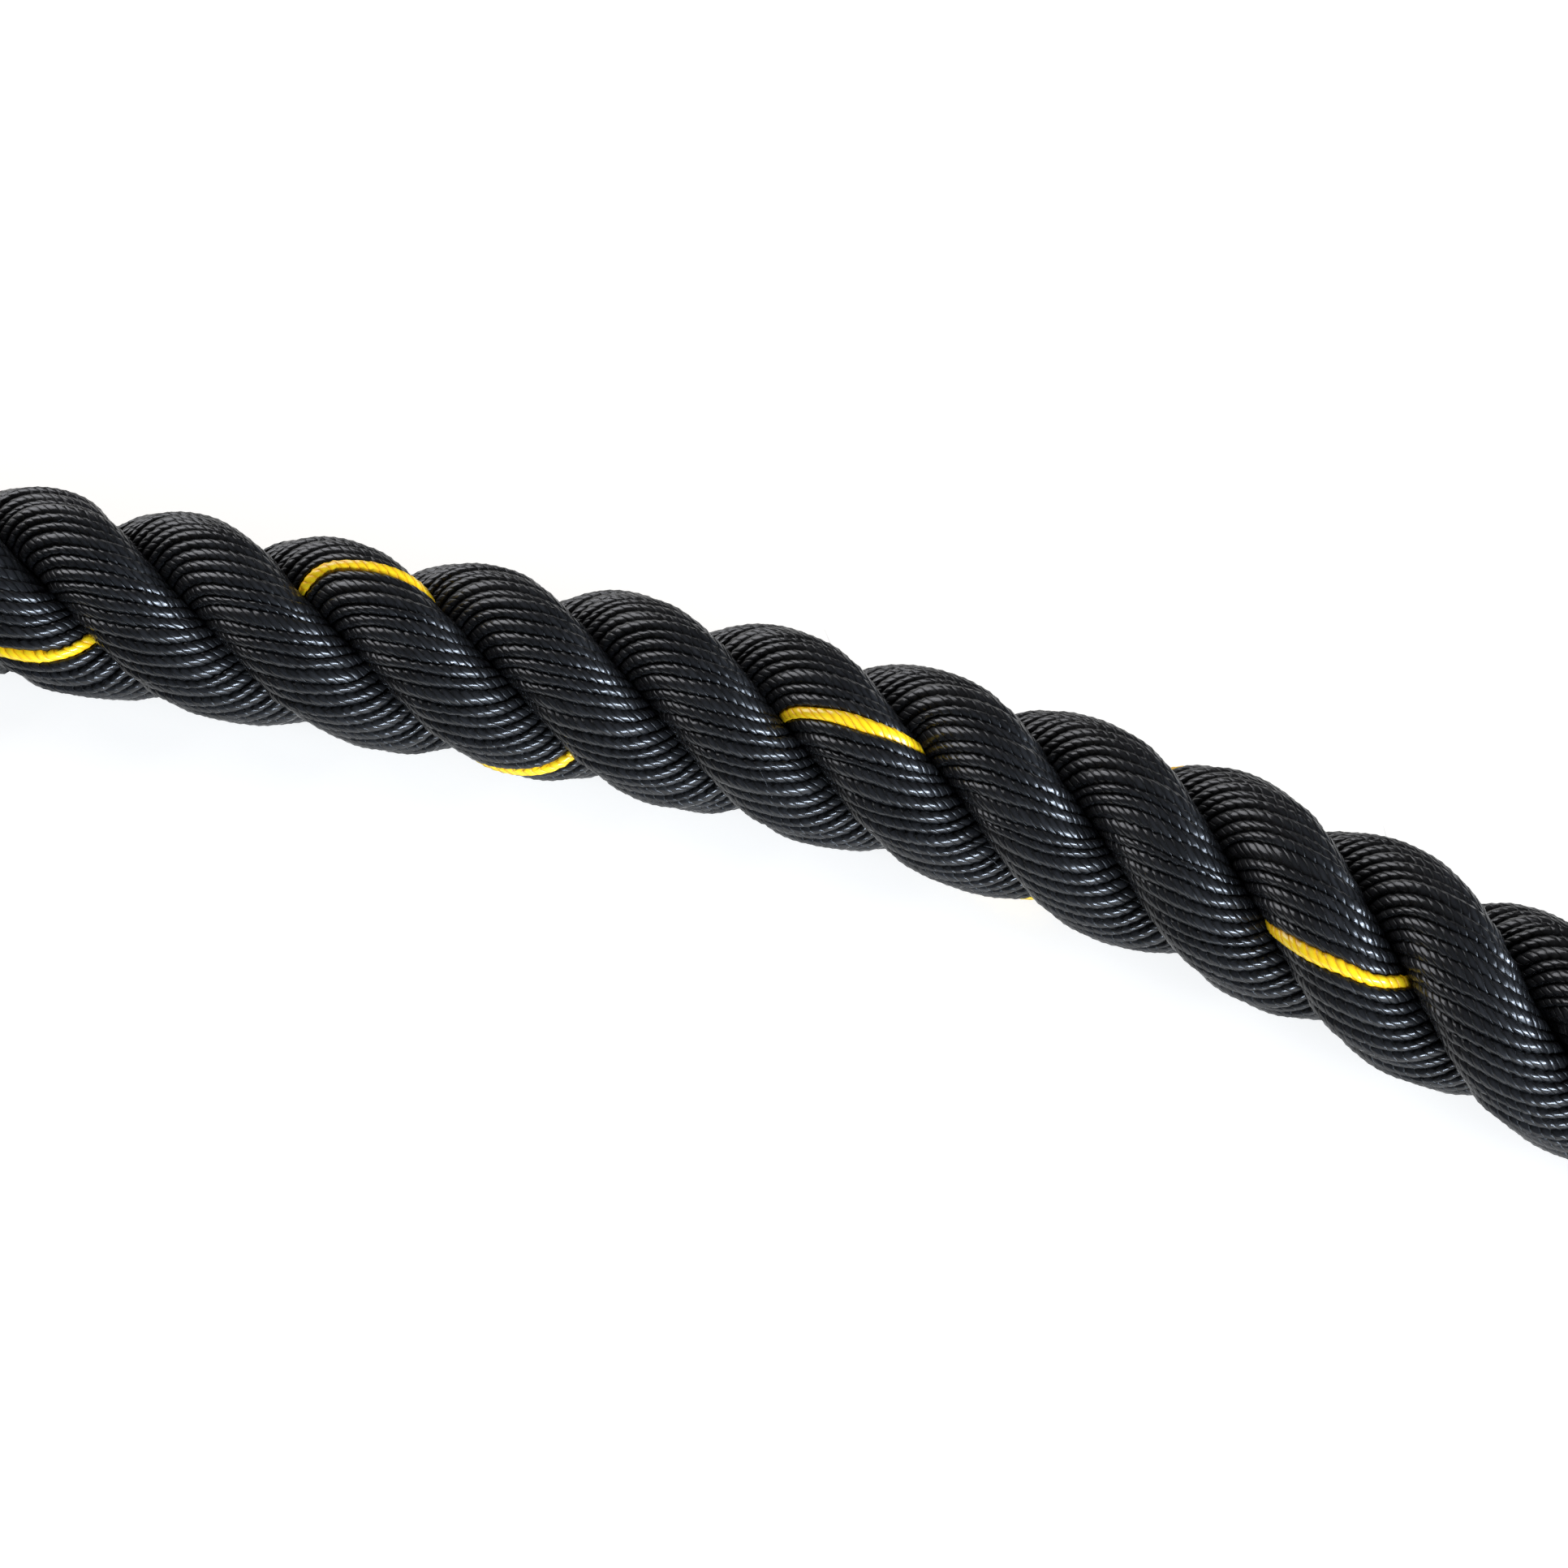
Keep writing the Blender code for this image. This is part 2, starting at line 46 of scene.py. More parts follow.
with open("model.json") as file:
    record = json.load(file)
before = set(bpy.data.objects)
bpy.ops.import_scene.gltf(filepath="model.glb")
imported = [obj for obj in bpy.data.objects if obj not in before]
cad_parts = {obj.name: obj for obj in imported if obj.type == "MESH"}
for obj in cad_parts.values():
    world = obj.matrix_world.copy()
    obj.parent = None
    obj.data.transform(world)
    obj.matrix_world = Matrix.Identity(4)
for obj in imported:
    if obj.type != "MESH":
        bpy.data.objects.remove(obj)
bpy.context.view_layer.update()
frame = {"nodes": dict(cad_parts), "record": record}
MM_PER_M = 1000

# Rope
ROPE_DIAMETER = 0.038
ROPE_RADIUS = ROPE_DIAMETER / 2
LAY_LENGTH = 0.0875
STRAND_COUNT = 3
LOBE_CENTRE_SHARE = 0.537    # of the rope's radius: where a strand's middle lies
LOBE_TANGENT_SHARE = 0.57    # of the rope's radius: half a strand's width round the rope
LAY_PHASE = -0.025           # radians from the top to the tracer's strand, at grip A's mouth
FLAT_SHARE = 0.1             # of the diameter: how deep the coil's weight flattens the underside

# Yarns
YARNS_PER_STRAND = 18
YARN_TURN_LENGTH = 0.03197   # along the rope, for one turn of a yarn round its strand, against the lay
YARN_LEAN = 0.00265          # how far along the rope a yarn's crown leads its flanks
YARN_SHIFT = 1.9             # radians, from one strand's yarns to the next one's
TRACER_PHASE = 2.408         # radians round its strand, at grip A's mouth
TRACER_WIDTH_SHARE = 1.07    # of a plain yarn's width
GROOVE_DEPTH = 0.00085       # between two yarns
YARN_ROUNDNESS = 2.5         # a power: 2 is round and higher is flatter
YARN_HEIGHT_SPREAD = 0.00018    # from yarn to yarn
CROWN_RISE = 0.00015         # of a yarn's crown past the strand's nominal section
TRACER_RISE = 0.00022        # of the tracer's crown past a plain yarn's
SWAY = 0.06                  # of a groove, in yarn widths
UNEVEN_YARNS = 0.10          # of a groove's place, in yarn widths
JAG = 0.09                   # of a groove from ply to ply, in yarn widths
SWAY_RATES = (260, 530, 790)        # radians per metre
SECOND_SWAY = 0.6            # of the first one's
YARN_SEED = 40
CROSSING_SAMPLES = 241
PLY_LENGTH = 0.00185         # along the yarn, from one crease between plies to the next
PLY_LEAN = 0.7               # of that length, from a yarn's one side to its other
PLY_SHIFT = 0.8              # of that length, by which yarns' plies are out of step
PLY_RELIEF = 0.00012         # of a ply over its creases, in the mesh
LEAST_STEP = 0.00004         # between two points along a yarn
CONTACT_ANGLE = math.radians(130)   # round a strand, from its crown to where it meets the next
SECTOR_HALF_ANGLE = math.radians(59.3)    # of the third of the rope that a strand keeps to
INNER_LINE = 0.0006          # from the rope's middle to a strand's inner corner
FINE_FROM = 0.040            # of the rope from grip A's mouth: between these two the plies are modelled
FINE_TO = 0.328
ACROSS_FINE = (0.0, 0.16, 0.5, 0.84)    # of a yarn's width: where the lines along it run
ACROSS_COARSE = (0.0, 0.5)
COARSE_STEPS = 6             # along one crossing of a yarn over its strand
LAY_DRIFTS = (               # where, over what length and by how much lay and yarns are ahead
    (0.175, 0.075, 0.0010),
    (0.165, 0.200, 0.0004),
    (0.055, 0.055, -0.0009),
)

# Stray filaments. Real ones are 0.02 mm thick, and are drawn thicker to show in the picture.
STRAY_SEED = 11
STRAY_RADIUS = 0.000045
STRAY_CLOSE_UP = 60          # how many stand where the plies are modelled
STRAY_ELSEWHERE = 120
STRAY_LENGTHS = (0.002, 0.007)
STRAY_STEPS = 5
STRAY_SIDES = 4
STRAY_TAPER = 0.6            # of its thickness, by which its tip is thinner
STRAY_LIFT = 0.28            # of its length
STRAY_LEAST_RISE = 0.3       # of that lift, for a filament that lies flattest
STRAY_RISE_POWER = 1.5       # how late along it the filament lifts
STRAY_CURL = 0.12            # radians round the rope
STRAY_ROOT = -0.0006         # how deep its root lies
STRAY_VALLEY = 0.27          # of the rope's radius, how much nearer its middle a valley lies

# Coil and free stretch, as in the solids
TURN_GAP = 0.0010
TURN_PITCH = ROPE_DIAMETER + TURN_GAP
COIL_LAYERS = 4
TURNS_PER_LAYER = 1.5
CLIMB_TURNS = 0.5
COIL_TURNS = COIL_LAYERS * TURNS_PER_LAYER + CLIMB_TURNS / 2
COIL_MEAN_RADIUS = 0.194373  # at which the rope comes to its full length
COIL_ENTRY = (-0.390, 0.072)    # where the free stretch runs into the coil
COIL_REST_TURN = 0.25        # turns from there to the coil's rest face
ENTRY_ANGLE = math.pi / 2
ENTRY_STEP = 0.0008          # of a turn, over which the coil's first direction is taken
TAIL_LENGTH = 0.30           # of the bend that brings the top end in over the coil
TAIL_BEND_RADIUS = 0.145
TAIL_EASE_SHARE = 0.2        # of its length, over which it tightens
TAIL_STRAIGHTEN_SHARE = 0.3
TAIL_STEPS = 160
GRIP_A_MOUTH = (0.168, -0.0702)
GRIP_A_HEADING_DEG = -28
RISE_LENGTH = 0.110          # over which the rope climbs to the thicker grip's middle
STRETCH_ROUTE = (
    (0.1170, -0.0421),
    (0.0720, -0.0163),
    (0.0240, 0.0035),
    (-0.0250, 0.0183),
    (-0.0740, 0.0293),
    (-0.1250, 0.0397),
    (-0.1800, 0.0508),
    (-0.2400, 0.0610),
    (-0.3000, 0.0680),
)
STRETCH_SAMPLES = 400
COIL_SAMPLES_PER_TURN = 120
REST_HEIGHT = ROPE_RADIUS - FLAT_SHARE * ROPE_DIAMETER
LOOSE_HEIGHT = 0.0175        # of the free stretch's middle, which only its own weight flattens
SETTLE_LENGTH = 0.12         # over which the rope sinks to the coil's height
LINE_STEP = 0.002
RUN_IN = 0.030               # how far the line goes on inside each grip
PATH_RUN_IN = 0.012
FLOOR_EASE = 0.0025          # height under which the underside is pressed flat
FLOOR_CLEAR = 0.0001

# Grips
GRIP_LENGTH = 0.210
GRIP_WALL = 0.0017
GRIP_BORE = ROPE_RADIUS + 0.0004
GRIP_RADIUS = GRIP_BORE + GRIP_WALL
GRIP_EDGE = 0.0012
RIM_DEPTH = 0.0022           # of the lip that shrinks in over the rope's end
RIM_REACH = 0.0045           # how far in it comes from the bore
SLEEVE_STATIONS = 72
SLEEVE_FACINGS = 72
SLEEVE_EDGE_STEPS = 6
SLEEVE_SINK = 0.0006         # of its outside between the strands
SLEEVE_UNEVEN = 0.00008
SLEEVE_WAVE_RATES = (44, 58, 72)    # radians per metre, for one, two and three waves round
SLEEVE_SEED = 7
SLEEVE_FADE = 0.010          # from each end, over which both grow to their full depth

# Straps
STRAP_WIDTH = 0.025
STRAP_THICKNESS = 0.0020
STRAP_GAP = 0.0004           # from the rope under it
STRAP_ANGLES_DEG = (20, 135, 215)
STRAP_EASE = 0.003           # over which the rope rises beside a strap that it lies on
STRAP_FACINGS = 120
STRAP_SECTION = (            # shares of its thickness and its half width, round its section
    (0.0, -1.0),
    (0.0, 1.0),
    (0.3, 1.0),
    (0.8, 0.985),
    (1.0, 0.95),
    (1.0, -0.95),
    (0.8, -0.985),
    (0.3, -1.0),
)
STRAP_LAP = (0.16, 0.46)     # of the strap's round, where its end lies over it
STRAP_LAP_THICKNESS = 0.0014
STRAP_LAP_WIDTH = 0.97       # of the strap's
STRAP_LAP_STEP = 0.002
STRAP_TIP = 0.01             # the least square of the lap's width at its rounded tip

# Floor and lamps
FLOOR_REACH = 6.0            # from its middle to a side
FLOOR_GLOW = 0.69            # near the rope, where the floor keeps its shadow
GLOW_FROM = 0.7              # from the middle of the view: here the floor starts to turn quite white
GLOW_TO = 1.6
WORLD_LIGHT = 0.08
LAMPS = (                    # name, place from the middle of the view, width, height, watts, colour
    ("soft_back_light", (-1.20, 1.20, 1.00), 2.0, 1.5, 44.0, "#f8f9ff"),
    ("cool_side_strip", (0.93, -0.87, 0.34), 1.3, 0.20, 54.0, "#dcebff"),
)

# Camera, placed from the rope's floor point in the middle of the view
CAMERA_ELEVATION_DEG = 60
CAMERA_DISTANCE = 0.59
CAMERA_LENS_MM = 73.05
SENSOR_MM = 36.0
CLIP_START = 0.01

# Materials
YARN_UV = "yarns"
YARN_ROUGHNESS = 0.18
YARN_IOR = 1.45
TRACER_ROUGHNESS = 0.22
TRACER_IOR = 1.57
PLY_BEND = 0.5               # how far creases wander, in plies
PLY_BEND_RATE = 0.9          # waves of that wander to a ply
PLY_FLATNESS = 0.45          # a power: the lower, the flatter a ply's top and the sharper its crease
FILAMENTS_PER_PLY = 4.5
FILAMENT_RUN = 1.2           # of the same pattern, across a yarn
FILAMENT_RELIEF = 0.16       # of a ply's
CREASE_DEPTH = 0.00015       # between two plies
CREASE_SHARPNESS = 1.1       # a power
SCALLOP = 0.35               # how far a crease widens the groove, as a share of the half width
GROOVE_START = 0.70          # from a yarn's crown, as a share of its half width
GROOVE_FULL = 1.10
HIDDEN_ROUGHNESS = 0.42      # down in the grooves and creases
PAINTED_SHADE_POWER = 1.9             # of the colour down there: painted shade in the grooves and creases
PALE_POWER = 0.8             # of the palest plies' painted sheen, and of worn rubber's and cloth's
DUSTY_POWER = 0.55           # of a stray filament's
FIBRE_ROUGHNESS = 0.6
FIBRE_IOR = 1.5
PIT_RATE = 1500.0            # per metre: pits about 0.7 mm apart
PIT_DEPTH = 0.00008
PATCH_RATE = 45.0            # per metre: rubbed patches about 22 mm across
RUBBER_ROUGHNESS = (0.38, 0.62)
RUBBER_IOR = 1.52
CLOTH_ROUGHNESS = 0.85
TAPE_THREAD_MM = 0.5
TAPE_SHEEN = 0.1
CUT_FIBRE_MM = 0.4
CUT_SHEEN = 0.2
WEBBING_THREAD_MM = 0.8
WEBBING_SHEEN = 0.35
FUZZ_RATE = 2.2              # to a thread
WEAVE_SHARE = 0.25
WEAVE_DEPTH = 0.00025


def smoothstep(share):
    share = np.clip(share, 0.0, 1.0)
    return share * share * (3 - 2 * share)


def linear(hex_colour):
    """An sRGB hex colour as linear RGBA."""
    values = [int(hex_colour[index:index + 2], 16) / 255 for index in (1, 3, 5)]
    return (*[v / 12.92 if v <= 0.04045 else ((v + 0.055) / 1.055) ** 2.4 for v in values], 1.0)


def lengths_along(points):
    return np.concatenate(([0.0], np.cumsum(np.linalg.norm(np.diff(points, axis=0), axis=1))))


def unit(vectors):
    return vectors / np.linalg.norm(vectors, axis=-1, keepdims=True)


def coil_place(turn):
    """Where the rope lies after so many turns, in the route's own frame."""
    turn = np.asarray(turn, float)
    folded = turn % (2 * TURNS_PER_LAYER)
    inward = np.minimum(folded, 2 * TURNS_PER_LAYER - folded)
    radius = COIL_MEAN_RADIUS + TURN_PITCH * (TURNS_PER_LAYER / 2 - inward)
    angle = ENTRY_ANGLE + 2 * math.pi * turn
    climbed = sum(smoothstep((turn - layer * TURNS_PER_LAYER) / CLIMB_TURNS + 0.5)
                  for layer in range(1, COIL_LAYERS + 1))
    centre_y = COIL_ENTRY[1] - COIL_MEAN_RADIUS - TURN_PITCH * TURNS_PER_LAYER / 2
    return np.stack([COIL_ENTRY[0] + radius * np.cos(angle), centre_y + radius * np.sin(angle),
                     REST_HEIGHT + TURN_PITCH * climbed], axis=-1)


def spline_through(knots, start_direction, end_direction, count):
    """Points on the cubic spline through the knots, with both end directions set."""
    knots = np.array(knots, float)
    along = lengths_along(knots)
    gaps = np.diff(along)
    total = len(knots)
    matrix = np.eye(total)
    right = np.zeros((total, 2))
    right[0], right[-1] = start_direction, end_direction
    slopes = np.diff(knots, axis=0) / gaps[:, None]
    for index in range(1, total - 1):
        before, after = gaps[index - 1], gaps[index]
        matrix[index, index - 1:index + 2] = (after, 2 * (before + after), before)
        right[index] = 3 * (after * slopes[index - 1] + before * slopes[index])
    tangents = np.linalg.solve(matrix, right)
    places = np.linspace(0.0, along[-1], count)
    index = np.clip(np.searchsorted(along, places, side="right") - 1, 0, total - 2)
    gap = gaps[index][:, None]
    share = (places - along[index])[:, None] / gap
    return ((1 + 2 * share) * (1 - share) ** 2 * knots[index]
            + share * (1 - share) ** 2 * gap * tangents[index]
            + share ** 2 * (3 - 2 * share) * knots[index + 1]
            + share ** 2 * (share - 1) * gap * tangents[index + 1])


def tail_places(start, direction):
    """The top end's bend over the coil, and its straight run into grip B."""
    angle = math.atan2(direction[1], direction[0])
    place = np.array(start, float)
    places = []
    step = TAIL_LENGTH / TAIL_STEPS
    lift = GRIP_RADIUS - ROPE_RADIUS
    for index in range(TAIL_STEPS):
        share = (index + 0.5) / TAIL_STEPS
        curvature = 1 / COIL_MEAN_RADIUS
        curvature += (1 / TAIL_BEND_RADIUS - curvature) * smoothstep(share / TAIL_EASE_SHARE)
        curvature *= 1 - smoothstep((share - 1) / TAIL_STRAIGHTEN_SHARE + 1)
        angle += curvature * step / 2
        place = place + np.array([math.cos(angle) * step, math.sin(angle) * step, 0.0])
        angle += curvature * step / 2
        places.append(place + np.array([0.0, 0.0, lift * smoothstep((index + 1) / TAIL_STEPS)]))
    out = np.array([math.cos(angle), math.sin(angle), 0.0])
    places.append(places[-1] + out * ROPE_DIAMETER)
    return places, out


class RopeLine:
    """The rope's middle line from grip A's mouth to grip B's, with a level frame along it."""

    def __init__(self):
        entry = coil_place(0.0)
        entry_direction = unit(coil_place(ENTRY_STEP) - entry)
        entry_direction[2] = 0.0
        straight_start = entry - entry_direction * ROPE_DIAMETER
        out_a = np.array([math.cos(math.radians(GRIP_A_HEADING_DEG)),
                          math.sin(math.radians(GRIP_A_HEADING_DEG))])
        mouth = np.array(GRIP_A_MOUTH)
        knots = [mouth - out_a * ROPE_DIAMETER, *STRETCH_ROUTE, straight_start[:2]]
        flat = spline_through(knots, -out_a, entry_direction[:2], STRETCH_SAMPLES)
        flat = np.vstack(([mouth], flat))
        along = lengths_along(flat)
        rise = smoothstep(1 - (along - ROPE_DIAMETER) / RISE_LENGTH)
        settled = smoothstep((along - along[-1]) / SETTLE_LENGTH + 1)
        lying = LOOSE_HEIGHT + (REST_HEIGHT - LOOSE_HEIGHT) * settled
        heights = lying + (GRIP_RADIUS - lying) * rise
        stretch = np.column_stack((flat, heights))

        turns = np.linspace(0.0, COIL_TURNS, round(COIL_TURNS * COIL_SAMPLES_PER_TURN) + 1)
        wound = coil_place(turns)
        tail, out_b = tail_places(wound[-1], unit(wound[-1] - wound[-2]))
        line = np.vstack((stretch, wound, tail))
        out_a = np.append(out_a, 0.0)
        line = np.vstack(([line[0] + out_a * RUN_IN], line, [line[-1] + out_b * RUN_IN]))

        rest_mount = next(m for m in frame["record"]["mounts"] if m["name"] == "coil_rest_face")
        self.shift = np.array(rest_mount["pos_m"]) - coil_place(COIL_REST_TURN)
        self.shift[2] = 0.0
        line = line + self.shift
        along = lengths_along(line)
        count = round(along[-1] / LINE_STEP) + 1
        places = np.linspace(0.0, along[-1], count)
        points = np.column_stack([np.interp(places, along, line[:, axis]) for axis in range(3)])
        self.along = places - RUN_IN
        self.length = along[-1] - 2 * RUN_IN
        self.coil_length = lengths_along(np.vstack((wound, tail)))[-1]
        self.points = self.smoothed(points)
        tangents = self.smoothed(np.gradient(self.points, axis=0))
        self.tangents = unit(tangents)
        up = np.array([0.0, 0.0, 1.0])
        self.ups = unit(up - self.tangents[:, 2:3] * self.tangents)
        self.sides = np.cross(self.tangents, self.ups)
        self.coil_centre = np.array([COIL_ENTRY[0], COIL_ENTRY[1] - COIL_MEAN_RADIUS
                                     - TURN_PITCH * TURNS_PER_LAYER / 2, 0.0]) + self.shift
        self.grip_a = (np.append(mouth, GRIP_RADIUS) + self.shift, out_a)
        self.grip_b = (np.array(tail[-1]) + self.shift, out_b)

    @staticmethod
    def smoothed(values, reach=3):
        window = np.ones(2 * reach + 1) / (2 * reach + 1)
        inner = np.column_stack([np.convolve(values[:, axis], window, mode="valid") for axis in range(3)])
        result = values.copy()
        result[reach:-reach] = inner
        return result

    def at(self, along, values):
        return np.stack([np.interp(along, self.along, values[:, axis]) for axis in range(3)], axis=-1)

    def path(self):
        inside = (self.along > -PATH_RUN_IN) & (self.along < self.length + PATH_RUN_IN)
        return self.points[inside]


def drift_at(along):
    """How far the lay is ahead of an even one."""
    return sum(most * np.exp(-((along - middle) / reach) ** 2) for middle, reach, most in LAY_DRIFTS)


_made = {}


def rope_line():
    """The rope's one middle line, worked out at its first use."""
    if "line" not in _made:
        _made["line"] = RopeLine()
    return _made["line"]


def press_on_floor(points):
    """Presses what would reach under the floor, or under a strap that lies there, flat against it."""
    under_strap = np.zeros(points.shape[:-1])
    for outward, sideways in map(strap_directions, STRAP_ANGLES_DEG):
        offset = points - rope_line().coil_centre
        past = (np.abs(offset @ sideways) - STRAP_WIDTH / 2) / STRAP_EASE
        under_strap = np.maximum(under_strap, np.where(offset @ outward > 0, 1 - smoothstep(past), 0.0))
    floor = FLOOR_CLEAR + under_strap * STRAP_THICKNESS
    height = points[..., 2]
    depth = FLOOR_EASE - FLOOR_CLEAR
    pressed = floor + depth * np.exp(np.minimum(height - floor - depth, 0.0) / depth)
    points[..., 2] = np.where(height < floor + depth, pressed, height)
    return points


def strap_directions(angle_degrees):
    """Outward from the coil's middle at this angle, and sideways to that."""
    angle = math.radians(angle_degrees)
    return (np.array([math.cos(angle), math.sin(angle), 0.0]),
            np.array([-math.sin(angle), math.cos(angle), 0.0]))


class StrandShape:
    """Places on one strand's surface, by yarn and by angle round the strand."""

    def __init__(self, index, settings):
        self.line = rope_line()
        self.index = index
        self.yarns = settings.yarns_per_strand
        self.groove = settings.groove_depth
        self.radius = settings.rope_diameter / 2
        self.lay = settings.lay_length
        self.wide = TRACER_WIDTH_SHARE if index == 0 else 1.0
        self.phase = TRACER_PHASE + index * YARN_SHIFT
        self.first = math.floor(self.yarn_at(-CONTACT_ANGLE, 0.0))
        self.last = math.ceil(self.yarn_at(CONTACT_ANGLE, self.line.length))
        count = self.last - self.first + 2
        random = np.random.default_rng(YARN_SEED + index)
        self.tall = random.normal(0.0, YARN_HEIGHT_SPREAD, count)
        self.wander = random.uniform(0.0, 2 * math.pi, (2, count))
        self.ply_shift = random.uniform(-0.5, 0.5, count) * PLY_SHIFT
        self.uneven = random.normal(0.0, UNEVEN_YARNS, count)
        if index == 0:
            grooves = np.arange(count) + self.first
            self.uneven[np.isin(grooves % self.yarns, (0, 1))] = 0.0
        angles = np.linspace(CONTACT_ANGLE, -CONTACT_ANGLE, CROSSING_SAMPLES)
        self.crossing_angles = angles
        self.crossing_lengths = lengths_along(self.straight_crossing(angles))

    def straight_crossing(self, angles):
        """One crossing of a yarn over its strand, in a straight rope."""
        along = -YARN_TURN_LENGTH / (2 * math.pi) * angles - YARN_LEAN * np.sin(angles)
        radial, sideways = self.section(angles, 0.0)
        turn = 2 * math.pi * along / self.lay
        return np.column_stack((along, radial * np.cos(turn) - sideways * np.sin(turn),
                                radial * np.sin(turn) + sideways * np.cos(turn)))

    def yarn_angle(self, yarn):
        """How far round the strand a yarn lies. Yarn 0 of the first strand is the wider tracer."""
        turns = math.floor(yarn / self.yarns)
        rest = yarn - turns * self.yarns
        narrow = (self.yarns - self.wide) / (self.yarns - 1)
        place = rest * self.wide if rest < 1 else self.wide + (rest - 1) * narrow
        return 2 * math.pi * (turns + (place - self.wide / 2) / self.yarns)

    def along(self, yarn, angle):
        turned = YARN_TURN_LENGTH / (2 * math.pi) * (self.phase + self.yarn_angle(yarn) - angle)
        return turned - YARN_LEAN * np.sin(angle)

    def yarn_at(self, angle, along):
        turned = (along + YARN_LEAN * math.sin(angle)) * 2 * math.pi / YARN_TURN_LENGTH
        return (turned + angle - self.phase) / (2 * math.pi) * self.yarns

    def section(self, angle, inset):
        """The strand's section: radial and sideways places, with an inset from its surface."""
        centre = self.radius * LOBE_CENTRE_SHARE
        reach = self.radius - centre
        half_width = self.radius * LOBE_TANGENT_SHARE
        normal = unit(np.stack([np.cos(angle) / reach, np.sin(angle) / half_width], axis=-1))
        radial = centre + reach * np.cos(angle) - inset * normal[..., 0]
        sideways = half_width * np.sin(angle) - inset * normal[..., 1]
        most = radial * math.tan(SECTOR_HALF_ANGLE)
        return radial, np.clip(sideways, -most, most)

    def places(self, along, radial, sideways):
        line = self.line
        along = along + drift_at(along)
        turns = self.index / STRAND_COUNT + (along - drift_at(along)) / self.lay
        turn = LAY_PHASE + 2 * math.pi * turns
        cosine, sine = np.cos(turn)[..., None], np.sin(turn)[..., None]
        ups, sides = line.at(along, line.ups), line.at(along, line.sides)
        outward = cosine * ups + sine * sides
        across = cosine * sides - sine * ups
        offset = radial[..., None] * outward + sideways[..., None] * across
        return press_on_floor(line.at(along, line.points) + offset)

    def is_fine(self, yarn):
        return self.along(yarn, -CONTACT_ANGLE) > FINE_FROM and self.along(yarn, CONTACT_ANGLE) < FINE_TO

    def is_tracer(self, yarn):
        return self.index == 0 and yarn % self.yarns == 0

    def ply_offset(self, yarn, share):
        return PLY_LEAN * (share - 0.5) + self.ply_shift[yarn - self.first]

    def yarn_line(self, yarn, share):
        """One line along a yarn, over the strand from flank to flank: its places and lengths."""
        total = self.crossing_lengths[-1]
        if self.is_fine(yarn):
            half_plies = round(total / (PLY_LENGTH / 2))
            offset = self.ply_offset(yarn, share)
            if not share:
                offset = (offset + self.ply_offset(max(yarn - 1, self.first), 1.0)) / 2
            steps = np.arange(half_plies + 1)
            lengths = PLY_LENGTH * (steps / 2 + offset)
            lengths = np.clip(lengths, steps * LEAST_STEP, total - (half_plies - steps) * LEAST_STEP)
            lengths[0], lengths[-1] = 0.0, total
            relief = np.where(steps % 2 == 0, PLY_RELIEF, -PLY_RELIEF) / 2
            relief = relief * math.sqrt(math.sin(math.pi * share))
        else:
            lengths = np.linspace(0.0, total, COARSE_STEPS + 1)
            relief = 0.0
        angles = np.interp(lengths, self.crossing_lengths, self.crossing_angles)
        sway = self.sway(yarn, lengths) * (1 - share) + self.sway(yarn + 1, lengths) * share
        along = self.along(yarn + share, angles) + sway * YARN_TURN_LENGTH / self.yarns
        inset = self.groove * abs(2 * share - 1) ** YARN_ROUNDNESS + relief
        if share:
            proud = CROWN_RISE + self.tall[yarn - self.first]
            if self.is_tracer(yarn):
                proud += TRACER_RISE
            inset = inset - proud * (1 - abs(2 * share - 1) ** YARN_ROUNDNESS)
        radial, sideways = self.section(angles, inset)
        return self.places(along, radial, sideways), lengths

    def sway(self, yarn, lengths):
        """How far a groove lies to one side of its even place, in yarn widths."""
        first, second = self.wander[:, yarn - self.first]
        slow = np.sin(lengths * SWAY_RATES[0] + first)
        slow = slow + SECOND_SWAY * np.sin(lengths * SWAY_RATES[1] + second)
        jag = np.sin(2 * math.pi * lengths / PLY_LENGTH + second) * np.sin(lengths * SWAY_RATES[2] + first)
        return self.uneven[yarn - self.first] + SWAY * slow + JAG * jag * self.is_fine(yarn)


def mapped_mesh(name, points, faces, texture):
    """A smooth mesh, with a texture place for every corner of every face."""
    mesh = bpy.data.meshes.new(name)
    mesh.from_pydata(points.tolist(), [], faces)
    mesh.shade_smooth()
    layer = mesh.uv_layers.new(name=YARN_UV)
    layer.data.foreach_set("uv", np.array(texture, np.float32).ravel())
    mesh.update()
    return mesh


